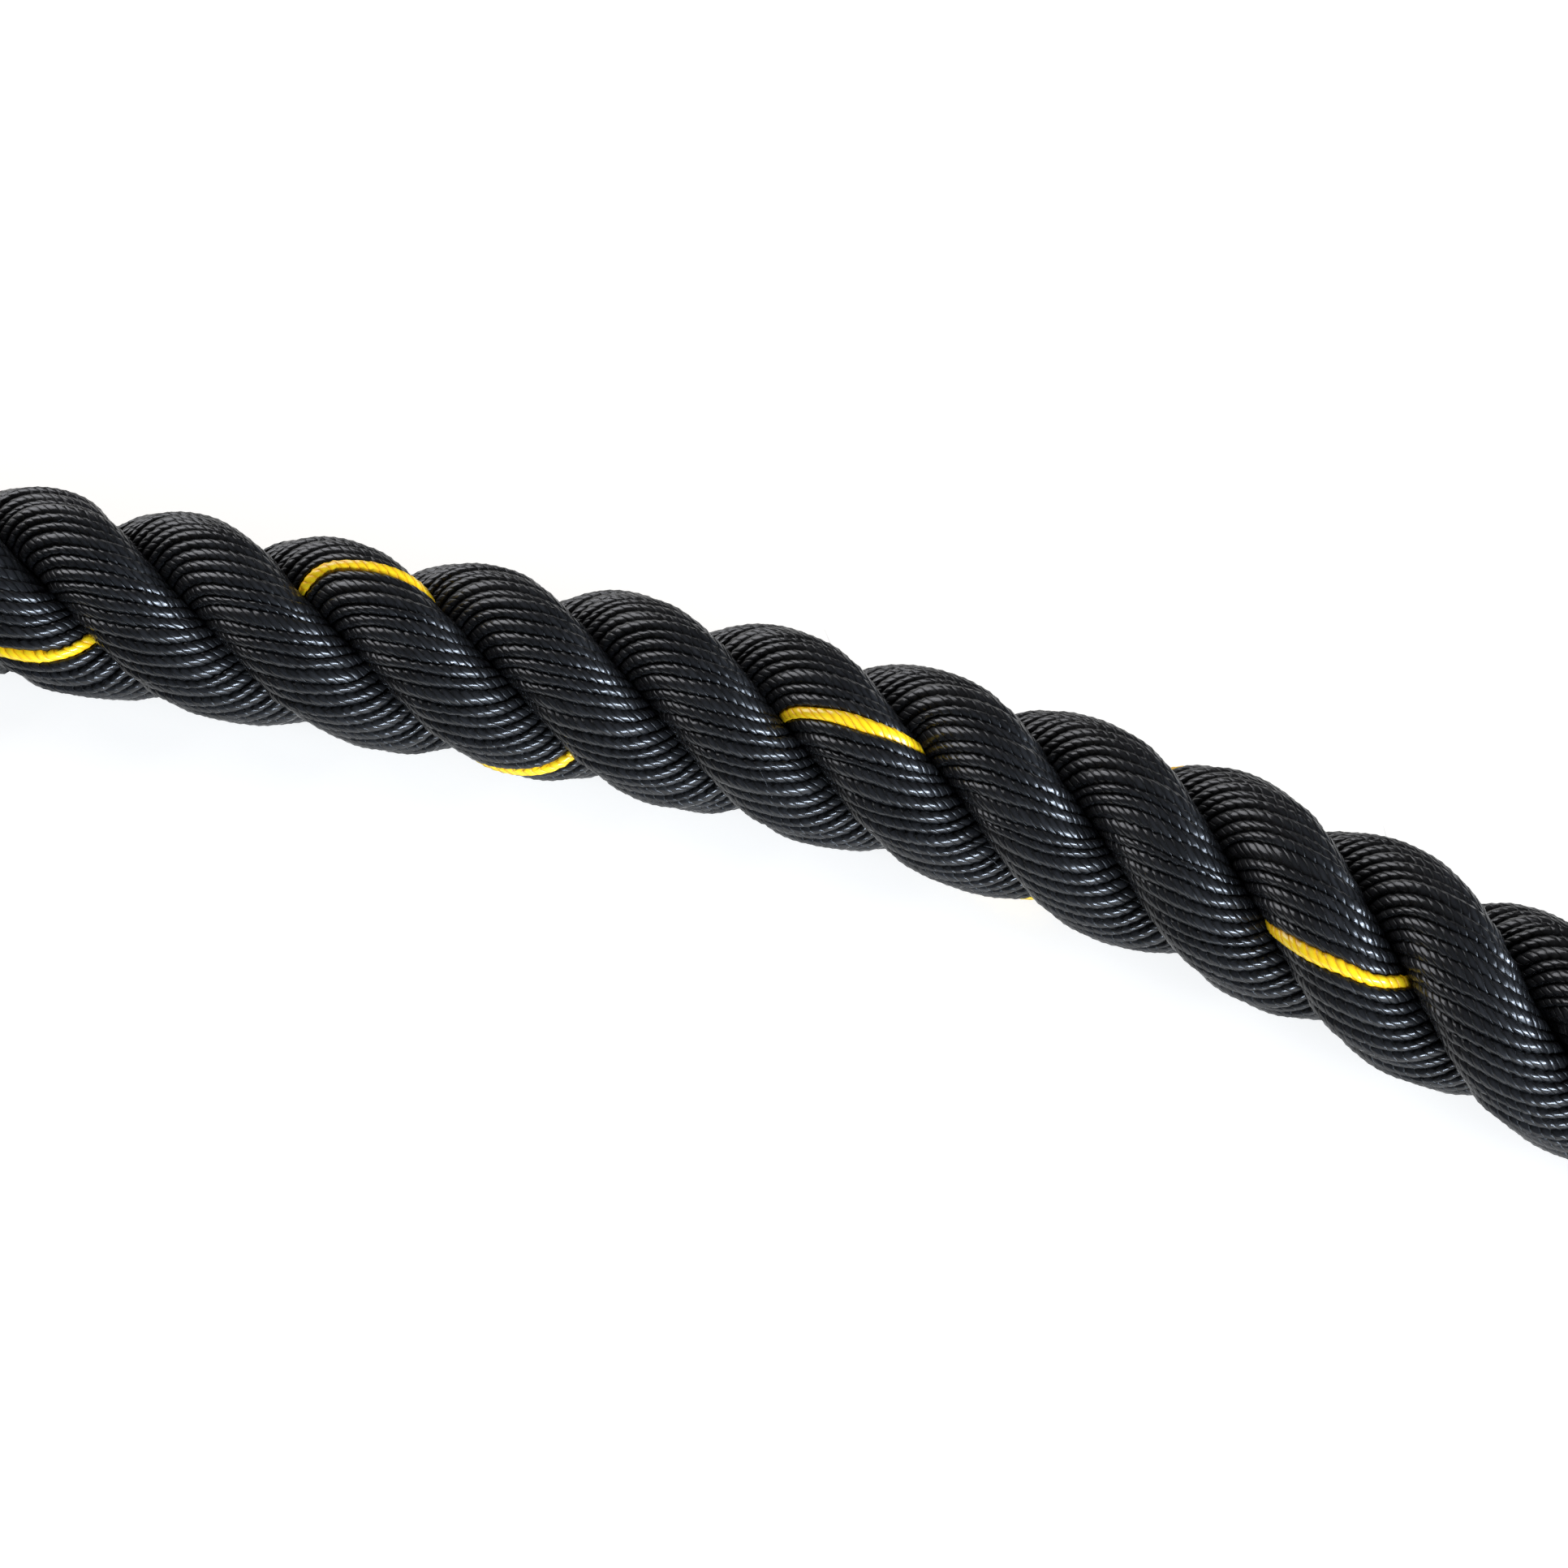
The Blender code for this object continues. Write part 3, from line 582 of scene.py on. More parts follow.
def strand_mesh(name, shape):
    """One strand as a closed mesh: yarn by yarn over its outside, and one inner corner line."""
    rows, points, total = [], [], 0
    for yarn in range(shape.first, shape.last + 1):
        for share in (ACROSS_FINE if shape.is_fine(yarn) else ACROSS_COARSE):
            if yarn == shape.last and share:
                break
            line, lengths = shape.yarn_line(yarn, share)
            rows.append((yarn, share, total, lengths / PLY_LENGTH))
            points.append(line)
            total += len(line)
    yarns = {}
    for row in rows:
        yarns.setdefault(row[0], []).append(row)
    faces, texture, tracer_faces, grooves = [], [], [], []
    for (yarn, share, base, run), (next_yarn, next_share, following, next_run) in zip(rows, rows[1:]):
        next_share = next_share if next_yarn == yarn else 1.0
        plies = run - shape.ply_offset(yarn, share)
        next_plies = next_run - shape.ply_offset(yarn, next_share)
        few = min(len(run), len(next_run)) - 1
        near_cuts = np.round(np.linspace(0, len(run) - 1, few + 1)).astype(int)
        far_cuts = np.round(np.linspace(0, len(next_run) - 1, few + 1)).astype(int)
        for step in range(few):
            near = range(near_cuts[step + 1], near_cuts[step] - 1, -1)
            far = range(far_cuts[step], far_cuts[step + 1] + 1)
            faces.append([base + index for index in near] + [following + index for index in far])
            texture += [(yarn + share, plies[index]) for index in near]
            texture += [(yarn + next_share, next_plies[index]) for index in far]
        tracer_faces += [shape.is_tracer(yarn)] * few
        if not share:
            grooves += [(base + step, base + step + 1) for step in range(len(run) - 1)]

    # The inner corner line joins both flanks where they lie at the same place along the rope.
    crossing = shape.along(0, -CONTACT_ANGLE) - shape.along(0, CONTACT_ANGLE)
    lag = round(crossing * shape.yarns / YARN_TURN_LENGTH)
    inner = {}
    for yarn in range(shape.first, shape.last + 1):
        along = (shape.along(yarn, CONTACT_ANGLE) + shape.along(yarn - lag, -CONTACT_ANGLE)) / 2
        inner[yarn] = total
        points.append(shape.places(np.array([along]), np.array([INNER_LINE]), np.array([0.0])))
        total += 1

    def edge(yarn, from_start):
        """The corners along one yarn's end, up to the next yarn's."""
        lines = [*yarns[yarn], yarns[yarn + 1][0]]
        return [base if from_start else base + len(run) - 1 for _, _, base, run in lines]

    closing = []
    for yarn in range(shape.first, shape.last):
        closing.append([*edge(yarn, True)[::-1], inner[yarn], inner[yarn + 1]])
        if yarn - lag >= shape.first:
            closing.append([*edge(yarn - lag, False), inner[yarn + 1], inner[yarn]])
    # Both ends are closed inside the grips.
    _, _, base, run = yarns[shape.first][0]
    cap = [base + step for step in range(len(run))]
    closing.append([*cap, *[inner[yarn] for yarn in range(shape.first + lag, shape.first - 1, -1)]])
    _, _, base, run = yarns[shape.last][0]
    far_side = [edge(yarn, False)[:-1] for yarn in range(shape.last - lag, shape.last)]
    closing.append([*[base + step for step in range(len(run))][::-1], inner[shape.last],
                    *[corner for part in far_side for corner in part]])
    faces += closing
    texture += [(0.5, 0.5)] * sum(len(face) for face in closing)

    mesh = mapped_mesh(name, np.vstack(points), faces, texture)
    materials = np.zeros(len(faces), np.int32)
    materials[:len(tracer_faces)] = tracer_faces
    mesh.polygons.foreach_set("material_index", materials)

    # Shading breaks along the grooves between yarns.
    pairs = np.zeros(len(mesh.edges) * 2, np.int32)
    mesh.edges.foreach_get("vertices", pairs)
    pairs = np.sort(pairs.reshape(-1, 2), axis=1)
    crease = mesh.attributes.new("sharp_edge", "BOOLEAN", "EDGE")
    keys = np.array(grooves) @ (total, 1)
    crease.data.foreach_set("value", np.isin(pairs @ (total, 1), keys))
    mesh.update()
    return mesh


def stray_fibre_mesh(name):
    """Short broken filaments that stand off the strands, each a thin closed tube."""
    line = rope_line()
    random = np.random.default_rng(STRAY_SEED)
    points, faces = [], []
    close_up = random.uniform(FINE_FROM, FINE_TO, STRAY_CLOSE_UP)
    elsewhere = random.uniform(0.0, line.length, STRAY_ELSEWHERE)
    corners = np.linspace(0.0, 2 * math.pi, STRAY_SIDES, endpoint=False)
    for start in (*close_up, *elsewhere):
        turn = random.uniform(0.0, 2 * math.pi)
        length = random.uniform(*STRAY_LENGTHS)
        lean, curl, rise = random.normal(0.0, 1.0, 3)
        base = len(points)
        for step in np.linspace(0.0, 1.0, STRAY_STEPS + 1):
            along = start + length * step * math.cos(lean)
            swing = turn + length * step * math.sin(lean) / ROPE_RADIUS + curl * step ** 2 * STRAY_CURL
            risen = (STRAY_LEAST_RISE + abs(rise)) * step ** STRAY_RISE_POWER
            lift = STRAY_ROOT + length * STRAY_LIFT * risen
            turned = LAY_PHASE + 2 * math.pi * along / LAY_LENGTH + swing
            valley = 0.5 - 0.5 * math.cos(STRAND_COUNT * swing)
            radius = ROPE_RADIUS * (1 - STRAY_VALLEY * valley) + lift
            up, side = line.at(along, line.ups), line.at(along, line.sides)
            outward = math.cos(turned) * up + math.sin(turned) * side
            across = math.cos(turned) * side - math.sin(turned) * up
            middle = line.at(along, line.points) + radius * outward
            middle[2] = max(middle[2], FLOOR_CLEAR + STRAY_RADIUS)
            thick = STRAY_RADIUS * (1 - STRAY_TAPER * step)
            for corner in corners:
                points.append(middle + thick * (math.cos(corner) * outward + math.sin(corner) * across))
        for step in range(STRAY_STEPS):
            row, following = base + step * STRAY_SIDES, base + (step + 1) * STRAY_SIDES
            for corner in range(STRAY_SIDES):
                after = (corner + 1) % STRAY_SIDES
                faces.append((row + corner, following + corner, following + after, row + after))
        last = base + STRAY_STEPS * STRAY_SIDES
        faces.append(tuple(base + index for index in range(STRAY_SIDES)))
        faces.append(tuple(last + index for index in reversed(range(STRAY_SIDES))))
    mesh = bpy.data.meshes.new(name)
    mesh.from_pydata(np.array(points).tolist(), [], faces)
    return facing_outward(mesh)


def closed_grid(name, points, texture):
    """A mesh over a grid of points that is closed both ways, with its texture places."""
    rounds, count = points.shape[:2]
    faces, corners = [], []
    for row in range(rounds):
        for index in range(count):
            square = [(row, index), (row + 1, index), (row + 1, index + 1), (row, index + 1)]
            faces.append([(r % rounds) * count + i % count for r, i in square])
            corners += [texture(r, i) for r, i in square]
    return mapped_mesh(name, points.reshape(-1, 3), faces, corners)


def facing_outward(mesh):
    """The mesh with the faces of each closed shell turned outward."""
    shells = bmesh.new()
    shells.from_mesh(mesh)
    bmesh.ops.recalc_face_normals(shells, faces=shells.faces)
    shells.to_mesh(mesh)
    shells.free()
    return mesh


def sleeve_profile():
    """Places along a sleeve and across from its bore, round its wall: bore, rim, outside and mouth."""
    rim = GRIP_BORE - RIM_REACH
    rim_start = GRIP_LENGTH - RIM_DEPTH
    lip, corner = RIM_DEPTH / 2, 2 * GRIP_EDGE
    edge = np.linspace(0.0, math.pi / 2, SLEEVE_EDGE_STEPS)
    stations = np.linspace(GRIP_EDGE, GRIP_LENGTH - corner, SLEEVE_STATIONS)
    profile = [(0.0, GRIP_BORE), (rim_start, GRIP_BORE), (rim_start, rim)]
    profile += [(GRIP_LENGTH - lip * (1 - math.sin(a)), rim + lip * (1 - math.cos(a))) for a in edge]
    profile += [(GRIP_LENGTH - corner * (1 - math.cos(a)), GRIP_RADIUS - corner * (1 - math.sin(a)))
                for a in edge[:-1]]
    profile += [(place, GRIP_RADIUS) for place in stations[::-1]]
    profile += [(GRIP_EDGE * (1 - math.sin(a)), GRIP_RADIUS - GRIP_EDGE * (1 - math.cos(a)))
                for a in edge[1:]]
    return np.array(profile)


def sleeve_mesh(name, mouth, out, along_mouth, towards_coil):
    """A shrunk sleeve. Between the strands under it, its outside sinks in a little."""
    profile = sleeve_profile()
    up = np.array([0.0, 0.0, 1.0])
    side = np.cross(out * towards_coil, up)
    round_angles = np.linspace(0.0, 2 * math.pi, SLEEVE_FACINGS, endpoint=False)
    random = np.random.default_rng(SLEEVE_SEED)
    heights, turns = random.normal(0.0, 1.0, (2, len(SLEEVE_WAVE_RATES) + 1))
    points = np.zeros((len(profile), SLEEVE_FACINGS, 3))
    for row, (place, radius) in enumerate(profile):
        along = along_mouth + towards_coil * place
        lobes = np.cos(STRAND_COUNT * (round_angles - LAY_PHASE - 2 * math.pi * along / LAY_LENGTH))
        fade = smoothstep(place / SLEEVE_FADE) * smoothstep((GRIP_LENGTH - place) / SLEEVE_FADE)
        sunk = SLEEVE_SINK * fade * (0.5 - 0.5 * lobes)
        wave = sum(heights[waves] * np.cos(waves * round_angles + turns[waves] + place * rate)
                   for waves, rate in enumerate(SLEEVE_WAVE_RATES, 1))
        outside = radius >= GRIP_RADIUS - GRIP_EDGE / 4
        reach = radius - outside * (sunk + SLEEVE_UNEVEN * fade * (1 + wave / len(SLEEVE_WAVE_RATES)))
        points[row] = (mouth + out * place + np.outer(reach * np.cos(round_angles), up)
                       + np.outer(reach * np.sin(round_angles), side))
    run = np.append(lengths_along(profile), 0.0) * MM_PER_M
    round_run = np.arange(SLEEVE_FACINGS + 1) / SLEEVE_FACINGS * 2 * math.pi * GRIP_RADIUS * MM_PER_M
    return facing_outward(closed_grid(name, points, lambda row, index: (round_run[index], run[row])))


def strap_mesh(name, angle_degrees):
    """A band drawn tight round every turn that passes this angle, with its end lapped over it."""
    line = rope_line()
    outward, sideways = strap_directions(angle_degrees)
    offset = line.points - line.coil_centre
    near = (np.abs(offset @ sideways) < STRAP_WIDTH / 2 + ROPE_RADIUS / 2) & (offset @ outward > 0)
    near &= (line.along > line.length - line.coil_length) & (line.along < line.length)
    crossings = np.column_stack((offset[near] @ outward, offset[near][:, 2]))

    def outline(clearance, floor):
        facings = np.linspace(0.0, 2 * math.pi, STRAP_FACINGS, endpoint=False)
        normals = np.column_stack((np.cos(facings), np.sin(facings)))
        supports = crossings[np.argmax(normals @ crossings.T, axis=1)]
        places = supports + normals * (ROPE_RADIUS + clearance)
        places[:, 1] = np.maximum(places[:, 1], floor)
        return places

    def band(inner, outer, taper=1.0):
        """Rows round the band, each a closed section."""
        rows = np.zeros((len(inner), len(STRAP_SECTION), 3))
        widths = np.outer(STRAP_WIDTH / 2 * np.broadcast_to(taper, len(inner)), sideways)
        for index, (depth, across) in enumerate(STRAP_SECTION):
            reach = inner + (outer - inner) * depth
            rows[:, index] = line.coil_centre + np.outer(reach[:, 0], outward) + widths * across
            rows[:, index, 2] += reach[:, 1]
        return rows

    inner = outline(STRAP_GAP, STRAP_THICKNESS)
    outer = outline(STRAP_GAP + STRAP_THICKNESS, 0.0)
    run = lengths_along(np.vstack((outer, outer[:1]))) * MM_PER_M
    corner_count = len(STRAP_SECTION)
    across = np.linspace(0.0, 2 * (STRAP_WIDTH + STRAP_THICKNESS), corner_count + 1) * MM_PER_M
    mesh = closed_grid(name, band(inner, outer), lambda row, index: (across[index], run[row]))

    # The lapped end is a second layer, with a rounded tip.
    first, last = (round(share * STRAP_FACINGS) for share in STRAP_LAP)
    lap_inner = densified(outer[first:last])
    lap_outer = densified(outline(STRAP_GAP + STRAP_THICKNESS + STRAP_LAP_THICKNESS, 0.0)[first:last])
    count = min(len(lap_inner), len(lap_outer))
    lap_inner, lap_outer = lap_inner[:count], lap_outer[:count]
    from_tip = lengths_along(lap_inner)
    tip = np.clip(from_tip / (STRAP_WIDTH / 2), 0.0, 1.0)
    taper = np.sqrt(np.maximum(1 - (1 - tip) ** 2, STRAP_TIP)) * STRAP_LAP_WIDTH
    rows = band(lap_inner, lap_outer, taper)
    lap = bmesh.new()
    lap.from_mesh(mesh)
    uv = lap.loops.layers.uv.active
    corners = [[lap.verts.new(place) for place in row] for row in rows]
    width_step = STRAP_WIDTH / 4 * MM_PER_M
    for row in range(len(corners) - 1):
        for index in range(corner_count):
            after = (index + 1) % corner_count
            face = lap.faces.new((corners[row][index], corners[row + 1][index],
                                  corners[row + 1][after], corners[row][after]))
            face.smooth = True
            square = ((row, index), (row + 1, index), (row + 1, index + 1), (row, index + 1))
            for loop, (r, i) in zip(face.loops, square):
                loop[uv].uv = (i * width_step, from_tip[r] * MM_PER_M)
    lap.faces.new(corners[0])
    lap.faces.new(corners[-1][::-1])
    lap.to_mesh(mesh)
    lap.free()
    return facing_outward(mesh)


def densified(outline):
    """The outline with points no further apart than the lap's step."""
    along = lengths_along(outline)
    places = np.union1d(along, np.arange(0.0, along[-1], STRAP_LAP_STEP))
    return np.column_stack([np.interp(places, along, outline[:, axis]) for axis in range(2)])


def add_piece(name, mesh, *materials):
    piece = bpy.data.objects.new(name, mesh)
    bpy.context.scene.collection.objects.link(piece)
    for material in materials:
        mesh.materials.append(material)
    return piece


def add_node(tree, kind, settings=None, inputs=None):
    """One node with its settings. An input given as a node or socket is linked, any other value is set."""
    node = tree.nodes.new(kind)
    for name, value in (settings or {}).items():
        setattr(node, name, value)
    for key, value in (inputs or {}).items():
        if isinstance(value, bpy.types.Node):
            value = value.outputs[0]
        if isinstance(value, bpy.types.NodeSocket):
            tree.links.new(value, node.inputs[key])
        else:
            node.inputs[key].default_value = value
    return node


def new_material(name):
    material = bpy.data.materials.new(name)
    material.use_nodes = True
    material.node_tree.nodes.clear()
    return material, material.node_tree


def deepened(colour, power):
    """A deeper shade of a linear colour for a power above 1, and a paler one under 1."""
    return (*[value ** power for value in colour[:3]], 1.0)


def polyester_yarn(name, colour, roughness, ior):
    """Bright multifilament polyester yarn, twisted from plies.

    Its filaments are smooth and glossy, so each ply's top catches a lamp as a short streak. The
    creases between plies and the grooves between yarns are rougher, and carry painted shade.
    """
    material, tree = new_material(name)
    # The map counts yarns across and plies along, so creases between plies are at whole numbers.
    place = add_node(tree, "ShaderNodeUVMap", {"uv_map": YARN_UV})
    parts = add_node(tree, "ShaderNodeSeparateXYZ", None, {0: place})
    across = add_node(tree, "ShaderNodeMath", {"operation": "FRACT"}, {0: parts.outputs[0]})
    yarn = add_node(tree, "ShaderNodeMath", {"operation": "FLOOR"}, {0: parts.outputs[0]})
    bend = add_node(tree, "ShaderNodeTexNoise", {"noise_dimensions": "2D"},
                    {"Vector": place, "Scale": PLY_BEND_RATE, "Detail": 1.0})
    ply = add_node(tree, "ShaderNodeMath", {"operation": "MULTIPLY_ADD"},
                   {0: bend, 1: PLY_BEND, 2: parts.outputs[1]})
    turned = add_node(tree, "ShaderNodeMath", {"operation": "MULTIPLY"}, {0: ply, 1: math.pi})
    wave = add_node(tree, "ShaderNodeMath", {"operation": "SINE"}, {0: turned})
    ridge = add_node(tree, "ShaderNodeMath", {"operation": "ABSOLUTE"}, {0: wave})
    top = add_node(tree, "ShaderNodeMath", {"operation": "POWER"}, {0: ridge, 1: PLY_FLATNESS})

    # Real filaments are 0.02 mm across. They are drawn about 0.4 mm apart, to show in the picture.
    stretched = add_node(tree, "ShaderNodeMath", {"operation": "MULTIPLY"}, {0: ply, 1: FILAMENTS_PER_PLY})
    spread = add_node(tree, "ShaderNodeMath", {"operation": "MULTIPLY"}, {0: across, 1: FILAMENT_RUN})
    grain = add_node(tree, "ShaderNodeCombineXYZ", None, {0: stretched, 1: spread, 2: yarn})
    filaments = add_node(tree, "ShaderNodeTexNoise", None,
                         {"Vector": grain, "Scale": 1.0, "Detail": 2.0, "Roughness": 0.6})
    height = add_node(tree, "ShaderNodeMath", {"operation": "MULTIPLY_ADD"},
                      {0: filaments, 1: FILAMENT_RELIEF, 2: top})
    relief = add_node(tree, "ShaderNodeBump", None,
                      {"Strength": 1.0, "Distance": CREASE_DEPTH, "Height": height})

    # Each ply bulges into the grooves, so the painted shade between two yarns is scalloped.
    centred = add_node(tree, "ShaderNodeMath", {"operation": "MULTIPLY_ADD"}, {0: across, 1: 2.0, 2: -1.0})
    off_crown = add_node(tree, "ShaderNodeMath", {"operation": "ABSOLUTE"}, {0: centred})
    low = add_node(tree, "ShaderNodeMath", {"operation": "SUBTRACT"}, {0: 1.0, 1: ridge})
    crease = add_node(tree, "ShaderNodeMath", {"operation": "POWER"}, {0: low, 1: CREASE_SHARPNESS})
    reach = add_node(tree, "ShaderNodeMath", {"operation": "MULTIPLY_ADD"},
                     {0: crease, 1: SCALLOP, 2: off_crown})
    groove = add_node(tree, "ShaderNodeMapRange", {"interpolation_type": "SMOOTHSTEP"},
                      {"Value": reach, "From Min": GROOVE_START, "From Max": GROOVE_FULL})
    painted_shade_mask = add_node(tree, "ShaderNodeMath", {"operation": "MAXIMUM"}, {0: groove, 1: crease})

    # Painted sheen: plies differ a little in tone at random, as their filaments lie more or less parallel
    # and so shine more or less.
    ply_number = add_node(tree, "ShaderNodeMath", {"operation": "FLOOR"}, {0: ply})
    cell = add_node(tree, "ShaderNodeCombineXYZ", None, {0: yarn, 1: ply_number})
    chance = add_node(tree, "ShaderNodeTexWhiteNoise", {"noise_dimensions": "2D"}, {"Vector": cell})
    painted_sheen = add_node(tree, "ShaderNodeMath", {"operation": "MULTIPLY"}, {0: chance, 1: filaments})
    tone = add_node(tree, "ShaderNodeMix", {"data_type": "RGBA"},
                    {"Factor": painted_sheen, "A": colour, "B": deepened(colour, PALE_POWER)})
    # Painted shade: the colour turns deeper down in the grooves and creases.
    shaded = add_node(tree, "ShaderNodeMix", {"data_type": "RGBA"},
                      {"Factor": painted_shade_mask, "A": tone.outputs["Result"], "B": deepened(colour, PAINTED_SHADE_POWER)})
    rough = add_node(tree, "ShaderNodeMapRange", None,
                     {"Value": painted_shade_mask, "To Min": roughness, "To Max": HIDDEN_ROUGHNESS})
    shader = add_node(tree, "ShaderNodeBsdfPrincipled", None, {
        "Base Color": shaded.outputs["Result"], "Roughness": rough, "IOR": ior, "Normal": relief})
    add_node(tree, "ShaderNodeOutputMaterial", None, {"Surface": shader})
    return material


def dull_fibre(name, colour):
    """A broken filament: fluffed and dusty, so it looks greyer and duller than the yarn it comes from."""
    material, tree = new_material(name)
    shader = add_node(tree, "ShaderNodeBsdfPrincipled", None, {
        "Base Color": deepened(colour, DUSTY_POWER), "Roughness": FIBRE_ROUGHNESS, "IOR": FIBRE_IOR})
    add_node(tree, "ShaderNodeOutputMaterial", None, {"Surface": shader})
    return material


def shrink_rubber(name, colour):
    """Shrunk rubber sleeve: satin and faintly pitted, with patches that handling has rubbed smoother."""
    material, tree = new_material(name)
    place = add_node(tree, "ShaderNodeTexCoord")
    pits = add_node(tree, "ShaderNodeTexNoise", None,
                    {"Vector": place.outputs["Object"], "Scale": PIT_RATE, "Detail": 3.0})
    patches = add_node(tree, "ShaderNodeTexNoise", None,
                       {"Vector": place.outputs["Object"], "Scale": PATCH_RATE, "Detail": 4.0})
    relief = add_node(tree, "ShaderNodeBump", None,
                      {"Strength": 0.6, "Distance": PIT_DEPTH, "Height": pits})
    rough = add_node(tree, "ShaderNodeMapRange", None,
                     {"Value": patches, "To Min": RUBBER_ROUGHNESS[0], "To Max": RUBBER_ROUGHNESS[1]})
    tone = add_node(tree, "ShaderNodeMix", {"data_type": "RGBA"},
                    {"Factor": patches, "A": colour, "B": deepened(colour, PALE_POWER)})
    shader = add_node(tree, "ShaderNodeBsdfPrincipled", None, {
        "Base Color": tone.outputs["Result"], "Roughness": rough, "IOR": RUBBER_IOR, "Normal": relief})
    add_node(tree, "ShaderNodeOutputMaterial", None, {"Surface": shader})
    return material


def woven_cloth(name, thread_mm, colour, sheen):
    """Plain-woven cloth, matt with a soft bloom of fuzz: the threads cross at their real spacing."""
    material, tree = new_material(name)
    place = add_node(tree, "ShaderNodeTexCoord")
    scaled = add_node(tree, "ShaderNodeVectorMath", {"operation": "SCALE"},
                      {0: place.outputs["Object"], "Scale": MM_PER_M * math.pi / thread_mm})
    waves = add_node(tree, "ShaderNodeVectorMath", {"operation": "SINE"}, {0: scaled})
    parts = add_node(tree, "ShaderNodeSeparateXYZ", None, {0: waves})
    crossed = add_node(tree, "ShaderNodeMath", {"operation": "MULTIPLY"},
                       {0: parts.outputs[0], 1: parts.outputs[2]})
    weave = add_node(tree, "ShaderNodeMath", {"operation": "ADD"}, {0: crossed, 1: parts.outputs[1]})
    fuzz = add_node(tree, "ShaderNodeTexNoise", None,
                    {"Vector": scaled, "Scale": FUZZ_RATE, "Detail": 3.0})
    height = add_node(tree, "ShaderNodeMath", {"operation": "MULTIPLY_ADD"},
                      {0: weave, 1: WEAVE_SHARE, 2: fuzz})
    relief = add_node(tree, "ShaderNodeBump", None,
                      {"Strength": 0.8, "Distance": WEAVE_DEPTH, "Height": height})
    tone = add_node(tree, "ShaderNodeMix", {"data_type": "RGBA"},
                    {"Factor": fuzz, "A": colour, "B": deepened(colour, PALE_POWER)})
    shader = add_node(tree, "ShaderNodeBsdfPrincipled", None, {
        "Base Color": tone.outputs["Result"], "Roughness": CLOTH_ROUGHNESS, "Sheen Weight": sheen,
        "Sheen Roughness": 0.5, "Normal": relief})
    add_node(tree, "ShaderNodeOutputMaterial", None, {"Surface": shader})
    return material


def seen_ray(tree):
    """1 where the camera, a mirror or clear glass looks straight at the surface."""
    path = add_node(tree, "ShaderNodeLightPath")
    either = add_node(tree, "ShaderNodeMath", {"operation": "MAXIMUM"},
                      {0: path.outputs["Is Camera Ray"], 1: path.outputs["Is Glossy Ray"]})
    return add_node(tree, "ShaderNodeMath", {"operation": "MAXIMUM"},
                    {0: either, 1: path.outputs["Is Transmission Ray"]})


def white_paper(name, middle):
    """Matt white paper sweep: it keeps the rope's soft shadow, and burns out to white further off."""
    material, tree = new_material(name)
    place = add_node(tree, "ShaderNodeTexCoord")
    offset = add_node(tree, "ShaderNodeVectorMath", {"operation": "DISTANCE"},
                      {0: place.outputs["Object"], 1: tuple(middle)})
    glow = add_node(tree, "ShaderNodeMapRange", {"interpolation_type": "SMOOTHSTEP"},
                    {"Value": offset.outputs["Value"], "From Min": GLOW_FROM, "From Max": GLOW_TO,
                     "To Min": FLOOR_GLOW, "To Max": 1.0})
    lit = add_node(tree, "ShaderNodeBsdfDiffuse", None, {"Color": linear("#f4f4f4")})
    shadowed = add_node(tree, "ShaderNodeBsdfDiffuse", None, {"Color": linear("#c1bcb3")})
    shining = add_node(tree, "ShaderNodeEmission", None, {"Color": linear("#ffffff"), "Strength": glow})
    both = add_node(tree, "ShaderNodeAddShader", None, {0: shadowed, 1: shining})
    mixed = add_node(tree, "ShaderNodeMixShader", None, {0: seen_ray(tree), 1: lit, 2: both})
    add_node(tree, "ShaderNodeOutputMaterial", None, {"Surface": mixed})
    return material


def plain_studio(name):
    """A dim room. Where the camera or clear glass looks straight at it, it is white."""
    world = bpy.data.worlds.new(name)
    world.use_nodes = True
    tree = world.node_tree
    tree.nodes.clear()
    dim, white = [add_node(tree, "ShaderNodeBackground", None,
                           {"Color": linear("#ffffff"), "Strength": strength})
                  for strength in (WORLD_LIGHT, 1.0)]
    path = add_node(tree, "ShaderNodeLightPath")
    straight = add_node(tree, "ShaderNodeMath", {"operation": "MAXIMUM"},
                        {0: path.outputs["Is Camera Ray"], 1: path.outputs["Is Transmission Ray"]})
    mixed = add_node(tree, "ShaderNodeMixShader", None, {0: straight, 1: dim, 2: white})
    add_node(tree, "ShaderNodeOutputWorld", None, {"Surface": mixed})
    return world


def aimed_at(target, offset, name, lamp_or_camera):
    """Sets up a lamp or camera at an offset from the target, looking at it."""
    holder = bpy.data.objects.new(name, lamp_or_camera)
    bpy.context.scene.collection.objects.link(holder)
    holder.location = target + offset
    holder.rotation_mode = "QUATERNION"
    holder.rotation_quaternion = (-offset).to_track_quat("-Z", "Y")
    return holder


class RopeSizes(bpy.types.PropertyGroup):
    rope_diameter: bpy.props.FloatProperty(
        name="Rope diameter", description="Across the crowns of the strands",
        default=ROPE_DIAMETER, min=0.02, max=0.06, subtype="DISTANCE", unit="LENGTH")
    lay_length: bpy.props.FloatProperty(
        name="Lay length", description="Along the rope, for one turn of a strand",
        default=LAY_LENGTH, min=0.04, max=0.2, subtype="DISTANCE", unit="LENGTH")
    yarns_per_strand: bpy.props.IntProperty(
        name="Yarns per strand", description="Outer yarns round one strand",
        default=YARNS_PER_STRAND, min=8, max=30)
    groove_depth: bpy.props.FloatProperty(
        name="Groove depth", description="How deep the groove between two yarns is",
        default=GROOVE_DEPTH, min=0.0, max=0.0015, subtype="DISTANCE", unit="LENGTH")


